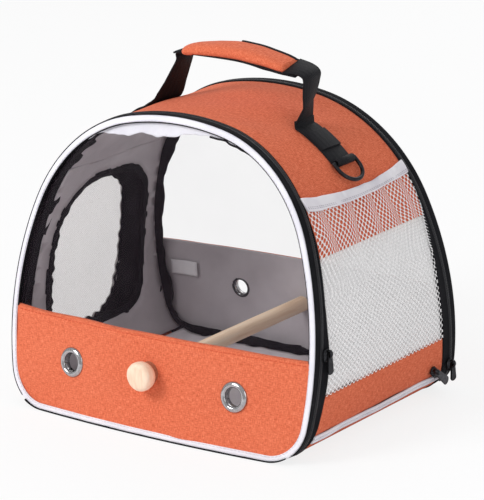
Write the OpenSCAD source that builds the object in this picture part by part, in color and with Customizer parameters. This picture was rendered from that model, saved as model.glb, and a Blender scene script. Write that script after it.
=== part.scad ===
// Bird travel carrier: a domed soft case with a clear zip-down front, a clear
// zip-down rear, a mesh side door, a netted side pocket, a sewn carrying loop
// and a wooden perch that is screwed to the front. Millimetres, +Z up, origin
// at the middle of the base, front towards -Y.

/* [Body] */
// Width of the case at its widest height
body_w = 304.8; // [280:0.1:330]
// Depth of the case along its base
body_d = 208; // [190:1:230]
// Height of the arch above the base
body_h = 245; // [235:1:260]
// Backward lean of the front, in degrees
front_tilt = 12; // [6:0.5:14]
// Inward lean of the rear, in degrees
rear_tilt = 5.5; // [3:0.5:9]
// Radius of the flat middle of the arch
top_r = 238; // [220:1:260]
// Direction where the top arc meets the shoulder, in degrees
top_a = 78.5; // [76:0.5:81]
// Radius of the shoulders
shoulder_r = 119; // [112:1:124]
// Radius of the long side walls
flank_r = 262; // [250:1:280]
// Radius of the two lower edges
corner_r = 35; // [28:1:40]

/* [Doors] */
// Outward crown of each door at its middle
bulge = 8; // [4:0.5:11]
// Height of the fabric band on the front
front_band_h = 79; // [60:1:95]
// Height of the fabric band on the rear
rear_band_h = 88; // [60:1:100]
// Visible width of the pale edge binding
binding_w = 5.2; // [4:0.1:7]
// Width of one half of the zip, behind a door's front
zip_half = 6.75; // [5:0.25:8]
// Radius of the opening in an eyelet
eyelet_r = 7.4; // [5:0.1:9]
// Radius of an eyelet's flange
flange_r = 12.3; // [10:0.1:14]
// Distance of the front eyelets from the middle
front_eyelet_x = 82; // [60:1:100]
// Height of the front eyelets
front_eyelet_z = 43.5; // [35:0.5:55]
// Distance of the rear eyelets from the middle
rear_eyelet_x = 66; // [50:1:90]
// Height of the rear eyelets
rear_eyelet_z = 54; // [35:0.5:60]

/* [Perch] */
// Height of the perch's axis
perch_z = 50.5; // [44:0.5:60]
// Radius of the perch
perch_r = 6.4; // [5:0.1:8]
// Radius of a perch knob
knob_r = 11.8; // [9:0.1:14]
// Length of a perch knob
knob_l = 13; // [9:0.5:16]
// Radius of the perch screws
screw_r = 2; // [1.5:0.1:2.5]

/* [Sides] */
// Height of the top of the fabric that wraps the base
base_h = 14; // [10:0.5:18]
// Height of the pale cord above the base fabric
cord_h = 6.5; // [4:0.5:8]
// Height where the side mesh begins
mesh_low = 50; // [40:1:60]
// Height where the side mesh ends
mesh_high = 152; // [130:1:165]
// Height of the pocket's elastic hem
hem_z = 191; // [180:1:200]
// Height of the side door's opening
side_top = 174; // [150:1:180]

/* [Handle] */
// Width of the webbing
web_w = 25; // [20:1:30]
// Thickness of the webbing
web_t = 1.6; // [1.2:0.1:2]
// Middle of the webbing, from the middle of the case
web_y = 13; // [5:1:18]
// Place of the carrying loop's left foot, left of the middle
left_foot = 66; // [60:1:72]
// Place of its right foot, right of the middle
right_foot = 75; // [70:1:78]
// Sideways lean of the loop's legs
lean_x = 14; // [0:1:20]
// Rise of the loop's legs
leg_h = 43; // [40:0.5:48]
// Length of the padded grip
grip_l = 104; // [90:1:112]

/* [Hidden] */
$fn = 180;
big = 400;
fabric_t = 1.2;
board_t = 3;
gap = 0.1;
lining_in = fabric_t + board_t + 3 * gap;
lining_t = 0.8;
zip_gap = 0.25;
zip_w = 2 * zip_half;
facing_w = 16;
coil_t = 0.8;
coil_w = 1.4;
dome_r = (body_w / 2) * (body_w / 2) / (2 * bulge);
dome_z = 100;
door_low = 1.3;
rim_a = 4.2;
tape_low = 8;
top_c = [0, body_h - top_r];
shoulder_c = top_c + (top_r - shoulder_r) * [cos(top_a), sin(top_a)];
shoulder_a = acos((flank_r - body_w / 2 + shoulder_c.x) / (flank_r - shoulder_r));
flank_c = shoulder_c + (shoulder_r - flank_r) * [cos(shoulder_a), sin(shoulder_a)];
flank_a = asin((corner_r - flank_c.y) / (flank_r - corner_r));
corner_c = flank_c + (flank_r - corner_r) * [cos(flank_a), sin(flank_a)];
orange = "coral";
black = "dimgray";
pale = "whitesmoke";

function polar(c, r, a) = c + r * [cos(a), sin(a)];
function flip(p) = [-p.x, p.y];

function arc(c, r, a1, a2, n) = [for (i = [0:n - 1]) polar(c, r, a1 + (a2 - a1) * i / n)];
function right_side(t) = concat(
    arc(corner_c, corner_r - t, -90, flank_a, 11),
    arc(flank_c, flank_r - t, flank_a, shoulder_a, 9),
    arc(shoulder_c, shoulder_r - t, shoulder_a, top_a, 13),
    arc(top_c, top_r - t, top_a, 90, 3)
);
function left_side(p) = [for (i = [len(p) - 1:-1:0]) flip(p[i])];
function whole_side(t) = concat(right_side(t), [polar(top_c, top_r - t, 90)], left_side(right_side(t)));

// The case's outline, moved inwards by t
module outline(t) {
    polygon(whole_side(t));
}

// The outline as a long solid, t inside the skin
module core(t) {
    rotate([90, 0, 0]) linear_extrude(height = big, center = true) outline(t);
}

// The wall between two depths under the skin
module wall(t1, t2) {
    difference() {
        core(t1);
        core(t2);
    }
}

// The frame of an end, with +Y inwards from its leaning face
module end_frame(tilt) {
    translate([0, -body_d / 2, 0]) rotate([-tilt, 0, 0]) children();
}

// The slab between two depths behind an end's leaning face
module slab(tilt, a, b) {
    end_frame(tilt) translate([-big / 2, a, -60]) cube([big, b - a, big]);
}

module rear() {
    mirror([0, 1, 0]) children();
}

// What lies between the ends, at least a behind each leaning face
module between(a) {
    intersection() {
        slab(front_tilt, a, big);
        rear() slab(rear_tilt, a, big);
        children();
    }
}

module above(z) {
    translate([-big / 2, -big / 2, z]) cube([big, big, big]);
}

module below(z) {
    translate([-big / 2, -big / 2, z - big]) cube([big, big, big]);
}

module right_half() {
    translate([0, -big / 2, -big / 2]) cube([big, big, big]);
}

// A solid ball whose face is the door's crown, s under its outside
module dome(tilt, s) {
    end_frame(tilt) translate([0, dome_r - bulge, dome_z / cos(tilt)]) sphere(r = dome_r - s, $fn = 360);
}

// The layer of a door between two depths under its crown
module layer(tilt, s1, s2) {
    intersection() {
        difference() {
            dome(tilt, s1);
            dome(tilt, s2);
        }
        slab(tilt, -20, 40);
    }
}

// Places children on a door's crown, with -Y outwards
module on_dome(tilt, x, z) {
    rise = (z - dome_z) / cos(tilt);
    end_frame(tilt)
        translate([0, dome_r - bulge, dome_z / cos(tilt)])
            rotate([0, 0, asin(x / dome_r)])
                rotate([-asin(rise / dome_r), 0, 0])
                    translate([0, -dome_r, 0]) children();
}

module rod(r, l) {
    rotate([-90, 0, 0]) cylinder(r = r, h = l);
}

// --- base and walls ---

module base_cover() {
    color(orange) difference() {
        between(zip_half + zip_gap) intersection() {
            wall(0, fabric_t);
            below(base_h);
        }
        intersection() {
            slab(front_tilt, 0, zip_w + gap);
            above(tape_low - gap);
        }
        rear() intersection() {
            slab(rear_tilt, 0, zip_w + gap);
            above(tape_low - gap);
        }
    }
}

module base_board() {
    board_w = 2 * corner_c.x;
    color("tan") between(zip_w + 2 * gap)
        translate([-board_w / 2, -big / 2, fabric_t + gap]) cube([board_w, big, board_t]);
}

module floor_mat() {
    mat_w = 2 * corner_c.x;
    mat_z = lining_in + lining_t + gap;
    color("silver") between(facing_w)
        translate([-mat_w / 2, -big / 2, mat_z]) cube([mat_w, big, board_t]);
}

module side_cords() {
    color(pale) between(zip_w + gap) intersection() {
        wall(-1.5, fabric_t);
        above(base_h + gap);
        below(base_h + cord_h);
    }
}

function fillet(a, b, c, r) =
    let (
        u = (a - b) / norm(a - b),
        v = (c - b) / norm(c - b),
        half = acos(u * v) / 2,
        centre = b + (u + v) / norm(u + v) * r / sin(half),
        s = b + u * r / tan(half) - centre,
        e = b + v * r / tan(half) - centre,
        a0 = atan2(s.y, s.x),
        turn = (atan2(e.y, e.x) - a0 + 540) % 360 - 180
    ) [for (i = [0:8]) polar(centre, r, a0 + turn * i / 8)];

// A four-sided opening in a side wall, in Y and Z, with its own corner radii
function rounded(p, r) = [
    for (i = [0:3], q = fillet(p[(i + 3) % 4], p[i], p[(i + 1) % 4], r[i])) q
];

// The side door's outline, moved inwards by e
function side_outline(e) = rounded(
    [[-57 + e, 36 + e], [70 - e, 36 + e], [74 - e, side_top - e], [-40 + e, side_top - e]],
    [16 - e, 24 - e, 40 - e, 52 - e]
);
// The pale area inside the side door's dark frame
function mesh_outline(e) = rounded(
    [[-47 + e, 46 + e], [38 - e, 46 + e], [46 - e, 167 - e], [-32 + e, 167 - e]],
    [10 - e, 12 - e, 16 - e, 42 - e]
);

module through_left(points) {
    translate([-200, 0, 0]) rotate([90, 0, 90]) linear_extrude(height = 120) polygon(points);
}

// The windows cut through both side walls
module wall_cuts(left_inset) {
    between(zip_w + 2) intersection() {
        above(mesh_low);
        below(mesh_high);
        right_half();
    }
    through_left(side_outline(left_inset));
}

module side_stiffener() {
    color("gainsboro") difference() {
        between(zip_w + gap) intersection() {
            wall(fabric_t + gap, fabric_t + gap + board_t);
            above(base_h);
        }
        wall_cuts(4);
    }
}

module lining() {
    color("gray") difference() {
        between(facing_w + gap) wall(lining_in, lining_in + lining_t);
        wall_cuts(-gap);
    }
}

module top_cover() {
    color(orange) between(zip_w + gap) difference() {
        wall(0, fabric_t);
        intersection() {
            below(mesh_high);
            right_half();
        }
        below(mesh_high);
        translate([-big, -big / 2, 0]) cube([big, big, 190]);
    }
}

module left_panel() {
    color(orange) difference() {
        between(zip_w + gap) intersection() {
            wall(0, fabric_t);
            above(base_h + cord_h + gap);
            below(190 - gap);
            mirror([1, 0, 0]) right_half();
        }
        through_left(side_outline(4));
    }
}

module right_strip() {
    color(orange) between(zip_w + gap) intersection() {
        wall(0, fabric_t);
        above(base_h + cord_h + gap);
        below(mesh_low);
        right_half();
    }
}

module right_mesh() {
    color(pale) between(zip_w + 2.1) intersection() {
        wall(fabric_t + gap, fabric_t + 0.7);
        above(mesh_low + gap);
        below(mesh_high - gap);
        right_half();
    }
}

module pocket_net() {
    color(pale) between(zip_w + 1.8) intersection() {
        wall(-2.2, -1.4);
        above(mesh_low - 3);
        below(hem_z - 10);
        right_half();
    }
}

module pocket_hem() {
    color(pale) between(zip_w + 1.8) intersection() {
        wall(-2.8, -1.2);
        above(hem_z - 10 + gap);
        below(hem_z);
        right_half();
    }
}

// --- edge parts of the case, made for one end and its tilt ---

module hoop(tilt) {
    intersection() {
        wall(fabric_t + gap, lining_in - gap);
        slab(tilt, 8.5, 12.5);
    }
}

module front_hoop() {
    color(pale) hoop(front_tilt);
}

module rear_hoop() {
    color(pale) rear() hoop(rear_tilt);
}

module edge_tape(tilt) {
    intersection() {
        wall(0, fabric_t - gap);
        slab(tilt, zip_half + zip_gap, zip_w);
        above(tape_low);
    }
}

module front_zip_tape() {
    color(black) edge_tape(front_tilt);
}

module rear_zip_tape() {
    color(black) rear() edge_tape(rear_tilt);
}

module edge_coil(tilt, a) {
    intersection() {
        wall(-coil_t, 0);
        slab(tilt, a, a + coil_w);
        above(tape_low);
    }
}

module front_zip_coil() {
    color(black) edge_coil(front_tilt, zip_half + zip_gap);
}

module rear_zip_coil() {
    color(black) rear() edge_coil(rear_tilt, zip_half + zip_gap);
}

module inner_tape(tilt) {
    intersection() {
        wall(lining_in, lining_in + lining_t);
        slab(tilt, zip_half + zip_gap, facing_w);
    }
}

module front_inner_tape() {
    color(black) inner_tape(front_tilt);
}

module rear_inner_tape() {
    color(black) rear() inner_tape(rear_tilt);
}

module hinge_tape(tilt) {
    reach = body_d / 2 + 0.3;
    difference() {
        translate([-corner_c.x, -reach, gap]) cube([2 * corner_c.x, 30, 0.8]);
        slab(tilt, zip_half + zip_gap - gap, big);
    }
}

module front_hinge_tape() {
    color(black) hinge_tape(front_tilt);
}

module rear_hinge_tape() {
    color(black) rear() hinge_tape(rear_tilt);
}

module side_opening_tape() {
    color(black) intersection() {
        wall(lining_in, lining_in + lining_t);
        difference() {
            through_left(side_outline(0));
            through_left(side_outline(4));
        }
    }
}

// --- carrying loop, its sewn feet and the rings ---

ring_a = 43.5;
ring_wire = 1.6;
ring_lift = 3.5;
ring_r = 13.2;
ring_leg = 5;
ring_tilt = 2;
ring_c = polar(shoulder_c, shoulder_r + ring_lift, ring_a);
strap_start = 1.2;
foot_lift = 2.4;

function skin_z(x) =
    let (u = abs(x) - shoulder_c.x) sqrt(shoulder_r * shoulder_r - u * u) + shoulder_c.y;

module web_slice() {
    translate([0, web_y + web_w / 2, 0]) rotate([90, 0, 0]) linear_extrude(height = web_w) children();
}

// A sewn strap from a foot of the loop down to its ring
module anchor(x) {
    start_a = acos((x + strap_start - shoulder_c.x) / shoulder_r);
    web_slice() difference() {
        intersection() {
            translate(shoulder_c) circle(r = shoulder_r + gap + web_t);
            polygon([
                shoulder_c,
                polar(shoulder_c, 2 * shoulder_r, ring_a - 1),
                polar(shoulder_c, 2 * shoulder_r, start_a)
            ]);
        }
        translate(shoulder_c) circle(r = shoulder_r + gap);
    }
    translate([ring_c.x, web_y - 10, ring_c.y]) difference() {
        rod(ring_lift - gap, 20);
        translate([0, -1, 0]) rod(ring_wire + 0.08, 22);
    }
}

module handle_anchors() {
    color(black) {
        anchor(right_foot);
        mirror([1, 0, 0]) anchor(left_foot);
    }
}

module d_ring() {
    translate([ring_c.x, web_y, ring_c.y]) rotate([0, 90 - ring_a - ring_tilt, 0]) {
        translate([0, -ring_r, 0]) rod(ring_wire, 2 * ring_r);
        for (s = [-1, 1]) {
            translate([0, s * ring_r, 0]) sphere(r = ring_wire, $fn = 48);
            translate([0, s * ring_r, 0]) rotate([0, 90, 0])
                cylinder(r = ring_wire - 0.05, h = ring_leg + 0.6, $fn = 48);
        }
        translate([ring_leg, 0, 0]) rotate([0, 0, -90]) rotate_extrude(angle = 180)
            translate([ring_r, 0]) circle(r = ring_wire, $fn = 48);
    }
}

module right_ring() {
    color("gray") d_ring();
}

module left_ring() {
    color("gray") mirror([1, 0, 0]) d_ring();
}

left_pivot = [-left_foot, skin_z(left_foot) + foot_lift];
right_pivot = [right_foot, skin_z(right_foot) + foot_lift];
left_knee = left_pivot + [lean_x, leg_h];
right_knee = right_pivot + [lean_x, leg_h];
leg_len = norm([lean_x, leg_h]);
leg_a = atan2(lean_x, leg_h);
span = norm(right_knee - left_knee);
span_a = atan2(left_knee.y - right_knee.y, right_knee.x - left_knee.x);
knee_gap = 4;

// A leg of the loop, from its foot on the arch to its knee
module leg(p) {
    translate([p.x, web_y - web_w / 2, p.y]) rotate([0, leg_a, 0]) {
        translate([-web_t / 2, 0, 0]) cube([web_t, web_w, leg_len]);
        rod(web_t / 2, web_w);
        translate([0, 0, leg_len]) rod(web_t / 2, web_w);
    }
}

module left_leg() {
    color(black) leg(left_pivot);
}

module right_leg() {
    color(black) leg(right_pivot);
}

grip_start = 15;
grip_h = 13;
grip_w = 30;
grip_up = 1.8;

// The line from knee to knee, with +X along it
module knee_frame() {
    translate([left_knee.x, web_y, left_knee.y]) rotate([0, span_a, 0]) children();
}

module grip_bar(r, h, w, l) {
    knee_frame() translate([grip_start + grip_l / 2 - l / 2, 0, grip_up]) rotate([0, 90, 0]) {
        for (s = [-1, 1]) {
            translate([0, s * (w / 2 - r), 0]) cylinder(r = r, h = l);
        }
        translate([-h / 2, r - w / 2, 0]) cube([h, w - 2 * r, l]);
    }
}

module grip_sleeve() {
    color(orange) difference() {
        grip_bar(grip_h / 2, grip_h, grip_w, grip_l);
        grip_bar(grip_h / 2 - 1.3, grip_h - 2.6, grip_w - 2.6, grip_l + 2);
    }
}

module grip_core() {
    color(pale) difference() {
        grip_bar(grip_h / 2 - 1.4, grip_h - 2.8, grip_w - 2.8, grip_l - 2);
        knee_frame() translate([0, -web_w / 2 - gap, -web_t / 2 - gap])
            cube([span, web_w + 2 * gap, web_t + 2 * gap]);
    }
}

module carry_webbing() {
    color(black) knee_frame() translate([knee_gap, -web_w / 2, -web_t / 2])
        cube([span - 2 * knee_gap, web_w, web_t]);
}

// --- doors ---

module holes(tilt, x, z) {
    for (s = [-1, 1]) {
        on_dome(tilt, s * x, z) translate([0, -10, 0]) rod(eyelet_r + 1, 30);
    }
    translate([0, -body_d, perch_z]) rod(screw_r + 0.6, body_d);
}

// Fabric, foam or lining of a door's lower band
module band(tilt, s1, s2, h, x, z) {
    difference() {
        intersection() {
            layer(tilt, s1, s2);
            core(1.4);
            above(door_low + 0.3);
            below(h);
        }
        holes(tilt, x, z);
    }
}

module window(tilt, low) {
    intersection() {
        layer(tilt, fabric_t + gap, fabric_t + 0.7);
        core(1.4);
        above(low);
    }
}

module binding(tilt) {
    intersection() {
        union() {
            intersection() {
                layer(tilt, -1.2, -gap);
                wall(0, binding_w);
            }
            intersection() {
                layer(tilt, -1.2, 2.2);
                wall(0, 1.3);
            }
        }
        above(door_low);
    }
}

module door_tape(tilt) {
    intersection() {
        wall(0, fabric_t);
        slab(tilt, rim_a + gap, zip_half - zip_gap);
        above(tape_low);
    }
}

module door_coil(tilt) {
    edge_coil(tilt, zip_half - zip_gap - coil_w);
}

module eyelets(tilt, x, z) {
    for (s = [-1, 1]) {
        on_dome(tilt, s * x, z) difference() {
            union() {
                translate([0, -1.4, 0]) rod(flange_r, 1.2);
                translate([0, -1.4, 0]) rod(eyelet_r + 0.8, 7);
            }
            translate([0, -2, 0]) rod(eyelet_r, 10);
        }
    }
}

module washers(tilt, x, z) {
    for (s = [-1, 1]) {
        on_dome(tilt, s * x, z) translate([0, 4.7, 0]) difference() {
            rod(flange_r - 0.8, 0.9);
            translate([0, -1, 0]) rod(eyelet_r + 0.9, 3);
        }
    }
}

core_s = fabric_t + gap;
core_e = core_s + 2.4;
liner_s = core_e + gap;
liner_e = liner_s + 0.7;

module front_window() {
    color("aliceblue") window(front_tilt, front_band_h - 4.5);
}

module front_band() {
    color(orange) band(front_tilt, 0, fabric_t, front_band_h, front_eyelet_x, front_eyelet_z);
}

module front_band_core() {
    color(pale) band(front_tilt, core_s, core_e, front_band_h - 5, front_eyelet_x, front_eyelet_z);
}

module front_band_lining() {
    color("gray") band(front_tilt, liner_s, liner_e, front_band_h - 3, front_eyelet_x, front_eyelet_z);
}

module front_binding() {
    color(pale) binding(front_tilt);
}

module front_door_tape() {
    color(black) door_tape(front_tilt);
}

module front_door_coil() {
    color(black) door_coil(front_tilt);
}

module front_eyelets() {
    color("silver") {
        eyelets(front_tilt, front_eyelet_x, front_eyelet_z);
        washers(front_tilt, front_eyelet_x, front_eyelet_z);
    }
}

module rear_window() {
    color("aliceblue") rear() window(rear_tilt, rear_band_h - 4.5);
}

module rear_band() {
    color(orange) rear() band(rear_tilt, 0, fabric_t, rear_band_h, rear_eyelet_x, rear_eyelet_z);
}

module rear_band_core() {
    color(pale) rear() band(rear_tilt, core_s, core_e, rear_band_h - 5, rear_eyelet_x, rear_eyelet_z);
}

module rear_band_lining() {
    color("gray") rear() band(rear_tilt, liner_s, liner_e, rear_band_h - 3, rear_eyelet_x, rear_eyelet_z);
}

module rear_binding() {
    color(pale) rear() binding(rear_tilt);
}

module rear_door_tape() {
    color(black) rear() door_tape(rear_tilt);
}

module rear_door_coil() {
    color(black) rear() door_coil(rear_tilt);
}

module rear_eyelets() {
    color("silver") rear() {
        eyelets(rear_tilt, rear_eyelet_x, rear_eyelet_z);
        washers(rear_tilt, rear_eyelet_x, rear_eyelet_z);
    }
}

module blank_label() {
    color(pale) rear() intersection() {
        layer(rear_tilt, liner_e + gap, liner_e + 0.5);
        translate([-135, -body_d, 58]) cube([27, body_d, 17]);
    }
}

// --- perch ---

function dome_c(tilt) = [
    -body_d / 2 + (dome_r - bulge) * cos(tilt) + dome_z * tan(tilt),
    dome_z - (dome_r - bulge) * sin(tilt)
];
// Lean and place of a door's outer face on the perch's axis
function skin_tilt(tilt) = asin((perch_z - dome_c(tilt).y) / dome_r);
function skin_y(tilt) = dome_c(tilt).x - dome_r * cos(skin_tilt(tilt));

front_skin = skin_y(front_tilt);
rear_skin = -skin_y(rear_tilt);
perch_rear = rear_skin - liner_e - 3;
insert_l = 8;
insert_r = 3.4;
knob_off = knob_r * tan(front_tilt) + 1;
screw_in = 6;

module perch() {
    color("burlywood") difference() {
        intersection() {
            translate([0, -body_d, perch_z]) rod(perch_r, body_d + perch_rear);
            dome(front_tilt, liner_e + gap);
        }
        translate([0, -body_d, perch_z]) rod(insert_r, body_d + front_skin + liner_e + insert_l);
        translate([0, perch_rear - insert_l, perch_z]) rod(insert_r, insert_l + 2);
    }
}

module perch_inserts() {
    color("gold") {
        difference() {
            intersection() {
                translate([0, -body_d, perch_z]) rod(insert_r, body_d + front_skin + liner_e + insert_l);
                dome(front_tilt, liner_e + gap);
            }
            translate([0, -body_d, perch_z]) rod(screw_r + 0.08, 2 * body_d);
        }
        translate([0, perch_rear - insert_l, perch_z]) difference() {
            rod(insert_r, insert_l);
            translate([0, -1, 0]) rod(screw_r + 0.08, insert_l + 2);
        }
    }
}

// A turned knob on its screw; the screw reaches in past the door's skin
module knob(skin, reach) {
    translate([0, skin - knob_off, perch_z]) {
        rotate([90, 0, 0]) rotate_extrude() difference() {
            union() {
                square([knob_r - 2, knob_l]);
                square([knob_r, knob_l - 2]);
                translate([knob_r - 2, knob_l - 2]) circle(r = 2);
            }
            translate([-big, -1]) square([big, big]);
        }
        translate([0, -gap, 0]) rod(screw_r, knob_off + reach);
    }
}

// A soft washer that takes up the angle between a knob and its door
module knob_washer(tilt, skin) {
    difference() {
        translate([0, skin - knob_off + gap, perch_z]) rod(knob_r - 3, knob_off + 4);
        translate([0, skin, perch_z]) rotate([-skin_tilt(tilt), 0, 0])
            translate([-20, -gap, -20]) cube([40, 40, 40]);
        translate([0, -body_d, perch_z]) rod(screw_r + 0.08, body_d);
    }
}

module front_knob() {
    color("burlywood") knob(front_skin, liner_e + screw_in);
}

module front_knob_washer() {
    color(black) knob_washer(front_tilt, front_skin);
}

module rear_knob() {
    color("burlywood") rear() knob(-rear_skin, liner_e + 1.5);
}

module rear_knob_washer() {
    color(black) rear() knob_washer(rear_tilt, -rear_skin);
}

// --- side door ---

module side_frame() {
    color(black) intersection() {
        wall(0.6, 2.4);
        difference() {
            through_left(side_outline(4.8));
            through_left(mesh_outline(0));
        }
    }
}

module side_mesh() {
    color(pale) intersection() {
        wall(1.2, 1.8);
        through_left(mesh_outline(0.05));
    }
}

// --- zip sliders and their pulls ---

slider_h = 10;
slider_w = 6;
pin_r = 0.8;
pull_l = 20;

function skin_x(z) = z < corner_c.y + corner_r * sin(flank_a)
    ? corner_c.x + sqrt(corner_r * corner_r - (corner_c.y - z) * (corner_c.y - z))
    : flank_c.x + sqrt(flank_r * flank_r - (z - flank_c.y) * (z - flank_c.y));
// Middle of a slider that runs beside the parting of a zip, at height z
function at_zip(tilt, z) = [
    skin_x(z + slider_h / 2) + coil_t + 0.1,
    -body_d / 2 + (z + slider_h / 2) * tan(tilt) + (zip_half + zip_gap) / cos(tilt) + slider_w / 2 + gap,
    z
];

front_slider_at = at_zip(front_tilt, 83);
rear_zip_at = at_zip(rear_tilt, 25);
rear_slider_at = [rear_zip_at.x, -rear_zip_at.y, rear_zip_at.z];
low_slider_at = [skin_x(25 + slider_h * 0.6) + 0.2, 70, 25];
low_turn = 50;

// A slider with two ears and a pin for its pull
module slider(p, turn) {
    translate(p) rotate([turn, 0, 0]) {
        translate([0, -slider_w / 2, -slider_h / 2]) cube([2.4, slider_w, slider_h]);
        for (s = [-1, 1]) {
            translate([2.3, s * 2.5 - 0.5, 0.5]) cube([3.2, 1, 3.6]);
        }
        translate([4.3, -2.5, 2.4]) rod(pin_r, 5);
    }
}

module pull(p, turn) {
    translate(p) rotate([turn, 0, 0]) translate([4.3, 0, 2.4]) difference() {
        union() {
            translate([0, -1.8, 0]) rod(1.7, 3.6);
            translate([-0.6, -1.8, -4]) cube([1.2, 3.6, 4]);
            translate([-0.6, -3.5, -pull_l]) cube([1.2, 7, pull_l - 3]);
        }
        translate([0, -4, 0]) rod(pin_r + 0.08, 8);
    }
}

module zip_sliders() {
    color("gray") {
        slider(front_slider_at, 0);
        slider(rear_slider_at, 0);
        slider(low_slider_at, low_turn);
    }
}

module front_pull() {
    color("gray") pull(front_slider_at, 0);
}

module rear_pull() {
    color("gray") pull(rear_slider_at, 0);
}

module low_pull() {
    color("gray") pull(low_slider_at, low_turn);
}

echo(BL = left_pivot, BR = right_pivot, KL = left_knee, KR = right_knee, ring = ring_c);
echo(front_slider = front_slider_at, rear_slider = rear_slider_at, low_slider = low_slider_at);
echo(front_skin = front_skin, rear_skin = rear_skin, perch_rear = perch_rear);

base_cover();
base_board();
floor_mat();
side_cords();
side_stiffener();
lining();
top_cover();
left_panel();
right_strip();
right_mesh();
pocket_net();
pocket_hem();
front_hoop();
rear_hoop();
front_zip_tape();
rear_zip_tape();
front_zip_coil();
rear_zip_coil();
front_inner_tape();
rear_inner_tape();
front_hinge_tape();
rear_hinge_tape();
side_opening_tape();
handle_anchors();
zip_sliders();
front_window();
front_band();
front_band_core();
front_band_lining();
front_binding();
front_door_tape();
front_door_coil();
front_eyelets();
perch();
perch_inserts();
rear_window();
rear_band();
rear_band_core();
rear_band_lining();
rear_binding();
rear_door_tape();
rear_door_coil();
rear_eyelets();
blank_label();
side_frame();
side_mesh();
left_leg();
grip_sleeve();
grip_core();
carry_webbing();
right_leg();
left_ring();
right_ring();
front_knob();
front_knob_washer();
rear_knob();
rear_knob_washer();
front_pull();
rear_pull();
low_pull();
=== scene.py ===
import bpy
import bmesh
import math
import numpy as np
from mathutils import Matrix, Vector
from mathutils.geometry import delaunay_2d_cdt


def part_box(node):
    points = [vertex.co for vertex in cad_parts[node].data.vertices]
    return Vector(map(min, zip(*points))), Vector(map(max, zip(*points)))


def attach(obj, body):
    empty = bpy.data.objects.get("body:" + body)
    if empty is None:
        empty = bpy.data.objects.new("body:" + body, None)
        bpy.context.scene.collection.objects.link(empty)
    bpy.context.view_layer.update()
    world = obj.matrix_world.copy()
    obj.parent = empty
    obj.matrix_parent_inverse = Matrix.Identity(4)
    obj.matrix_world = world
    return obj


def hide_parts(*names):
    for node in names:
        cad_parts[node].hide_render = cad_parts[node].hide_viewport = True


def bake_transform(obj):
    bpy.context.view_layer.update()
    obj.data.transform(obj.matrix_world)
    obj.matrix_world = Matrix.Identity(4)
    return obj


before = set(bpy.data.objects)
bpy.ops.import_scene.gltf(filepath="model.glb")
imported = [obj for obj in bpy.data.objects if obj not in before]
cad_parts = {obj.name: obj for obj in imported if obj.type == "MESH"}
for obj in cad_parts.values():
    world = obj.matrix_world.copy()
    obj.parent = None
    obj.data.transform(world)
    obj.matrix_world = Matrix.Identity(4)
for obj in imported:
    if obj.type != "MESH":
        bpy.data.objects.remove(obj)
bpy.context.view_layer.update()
DEG = math.pi / 180
MM = 0.001
PI2 = 2 * math.pi


# ---------------------------------------------------------------- small helpers
def link(name, data, mat=None):
    obj = bpy.data.objects.new(name, data)
    bpy.context.scene.collection.objects.link(obj)
    if mat:
        data.materials.append(MATS[mat])
    return obj


def cols(*parts):
    """Coordinates given apart, broadcast and joined as the last axis."""
    return np.stack(np.broadcast_arrays(*parts), -1)


def arc(p):
    """Length along the points p, from 0."""
    return np.concatenate([[0], np.cumsum(np.linalg.norm(np.diff(p, axis=0), axis=1))])


def unit(v):
    return v / np.linalg.norm(v, axis=1)[:, None]


def sample(k, s, p):
    """The points p, which lie at lengths s, taken at lengths k."""
    return cols(*(np.interp(k, s, c) for c in np.asarray(p, float).T))


def follow(at, knots):
    """Straight lines through (place, value) knots."""
    knots = np.array(knots)
    return np.interp(at, knots[:, 0], knots[:, 1])


# ---------------------------------------------------------------- camera
# The photograph's view: angles, where it stands, its focal length and the offset of its centre
VIEW_AZ, VIEW_EL, VIEW_ROLL = 39.19 * DEG, 16.05 * DEG, -3.10 * DEG
VIEW_FROM = (1.3525, -1.6589, 0.7612)
FOCAL_PX, LONG_SIDE_PX, SENSOR = 2800.5, 500, 36
VIEW_SHIFT = (0.0378, -0.0533)


def camera():
    level = math.cos(VIEW_EL)
    back = Vector((math.sin(VIEW_AZ) * level, -math.cos(VIEW_AZ) * level, math.sin(VIEW_EL)))
    right = Vector((math.cos(VIEW_AZ), math.sin(VIEW_AZ), 0))
    up = back.cross(right)
    c, s = math.cos(VIEW_ROLL), math.sin(VIEW_ROLL)
    data = bpy.data.cameras.new("camera")
    cam = link("camera", data)
    cam.matrix_world = Matrix((c * right + s * up, c * up - s * right, back)).transposed().to_4x4()
    cam.location = VIEW_FROM
    data.lens = FOCAL_PX * SENSOR / LONG_SIDE_PX
    data.sensor_width = SENSOR
    data.shift_x, data.shift_y = VIEW_SHIFT
    data.clip_start, data.clip_end = 0.05, 50
    bpy.context.scene.camera = cam


camera()

# ---------------------------------------------------------------- outline
# The arch's outline in X and Z, from the middle of the base round the right side,
# over the top and down the left, as points, outward normals and arc length.
# W, DP and H are its width, depth and height; the radii are the top's, shoulder's, flank's
# and corner's.
W, DP, H = 0.3048, 0.208, 0.245
R_TOP, R_SH, R_FL, R_CO = 0.238, 0.119, 0.262, 0.035
ENDS = ("front", "rear")
LEAN = {"front": 12 * DEG, "rear": 5.5 * DEG}
SIGN = {"front": 1, "rear": -1}
CROWN = 0.008  # how far the doors stand out in their middle
ZIP_END = 0.008  # height at which the zips end
TOOTH = 0.0015  # a zip's pitch
CORNER = 0.116  # arc length at which the base turns up
FABRIC = 0.0011  # thickness of the outer fabric
LINING = (0.0046, 0.0053)  # depths of the lining's two faces
# Heights: where the top cover ends on the right and left and the lining under it, where the
# right side's orange strip and its fine net begin and end, and where the base cover ends
TOP_Z, TOP_LINING_Z = (0.152, 0.190), (0.153, 0.188)
STRIP_Z, NET_Z, BASE_Z = (0.0203, 0.0502), (0.0495, 0.1535), 0.0145
RING_Z = 0.2068  # where the sewn straps end at the rings


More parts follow.
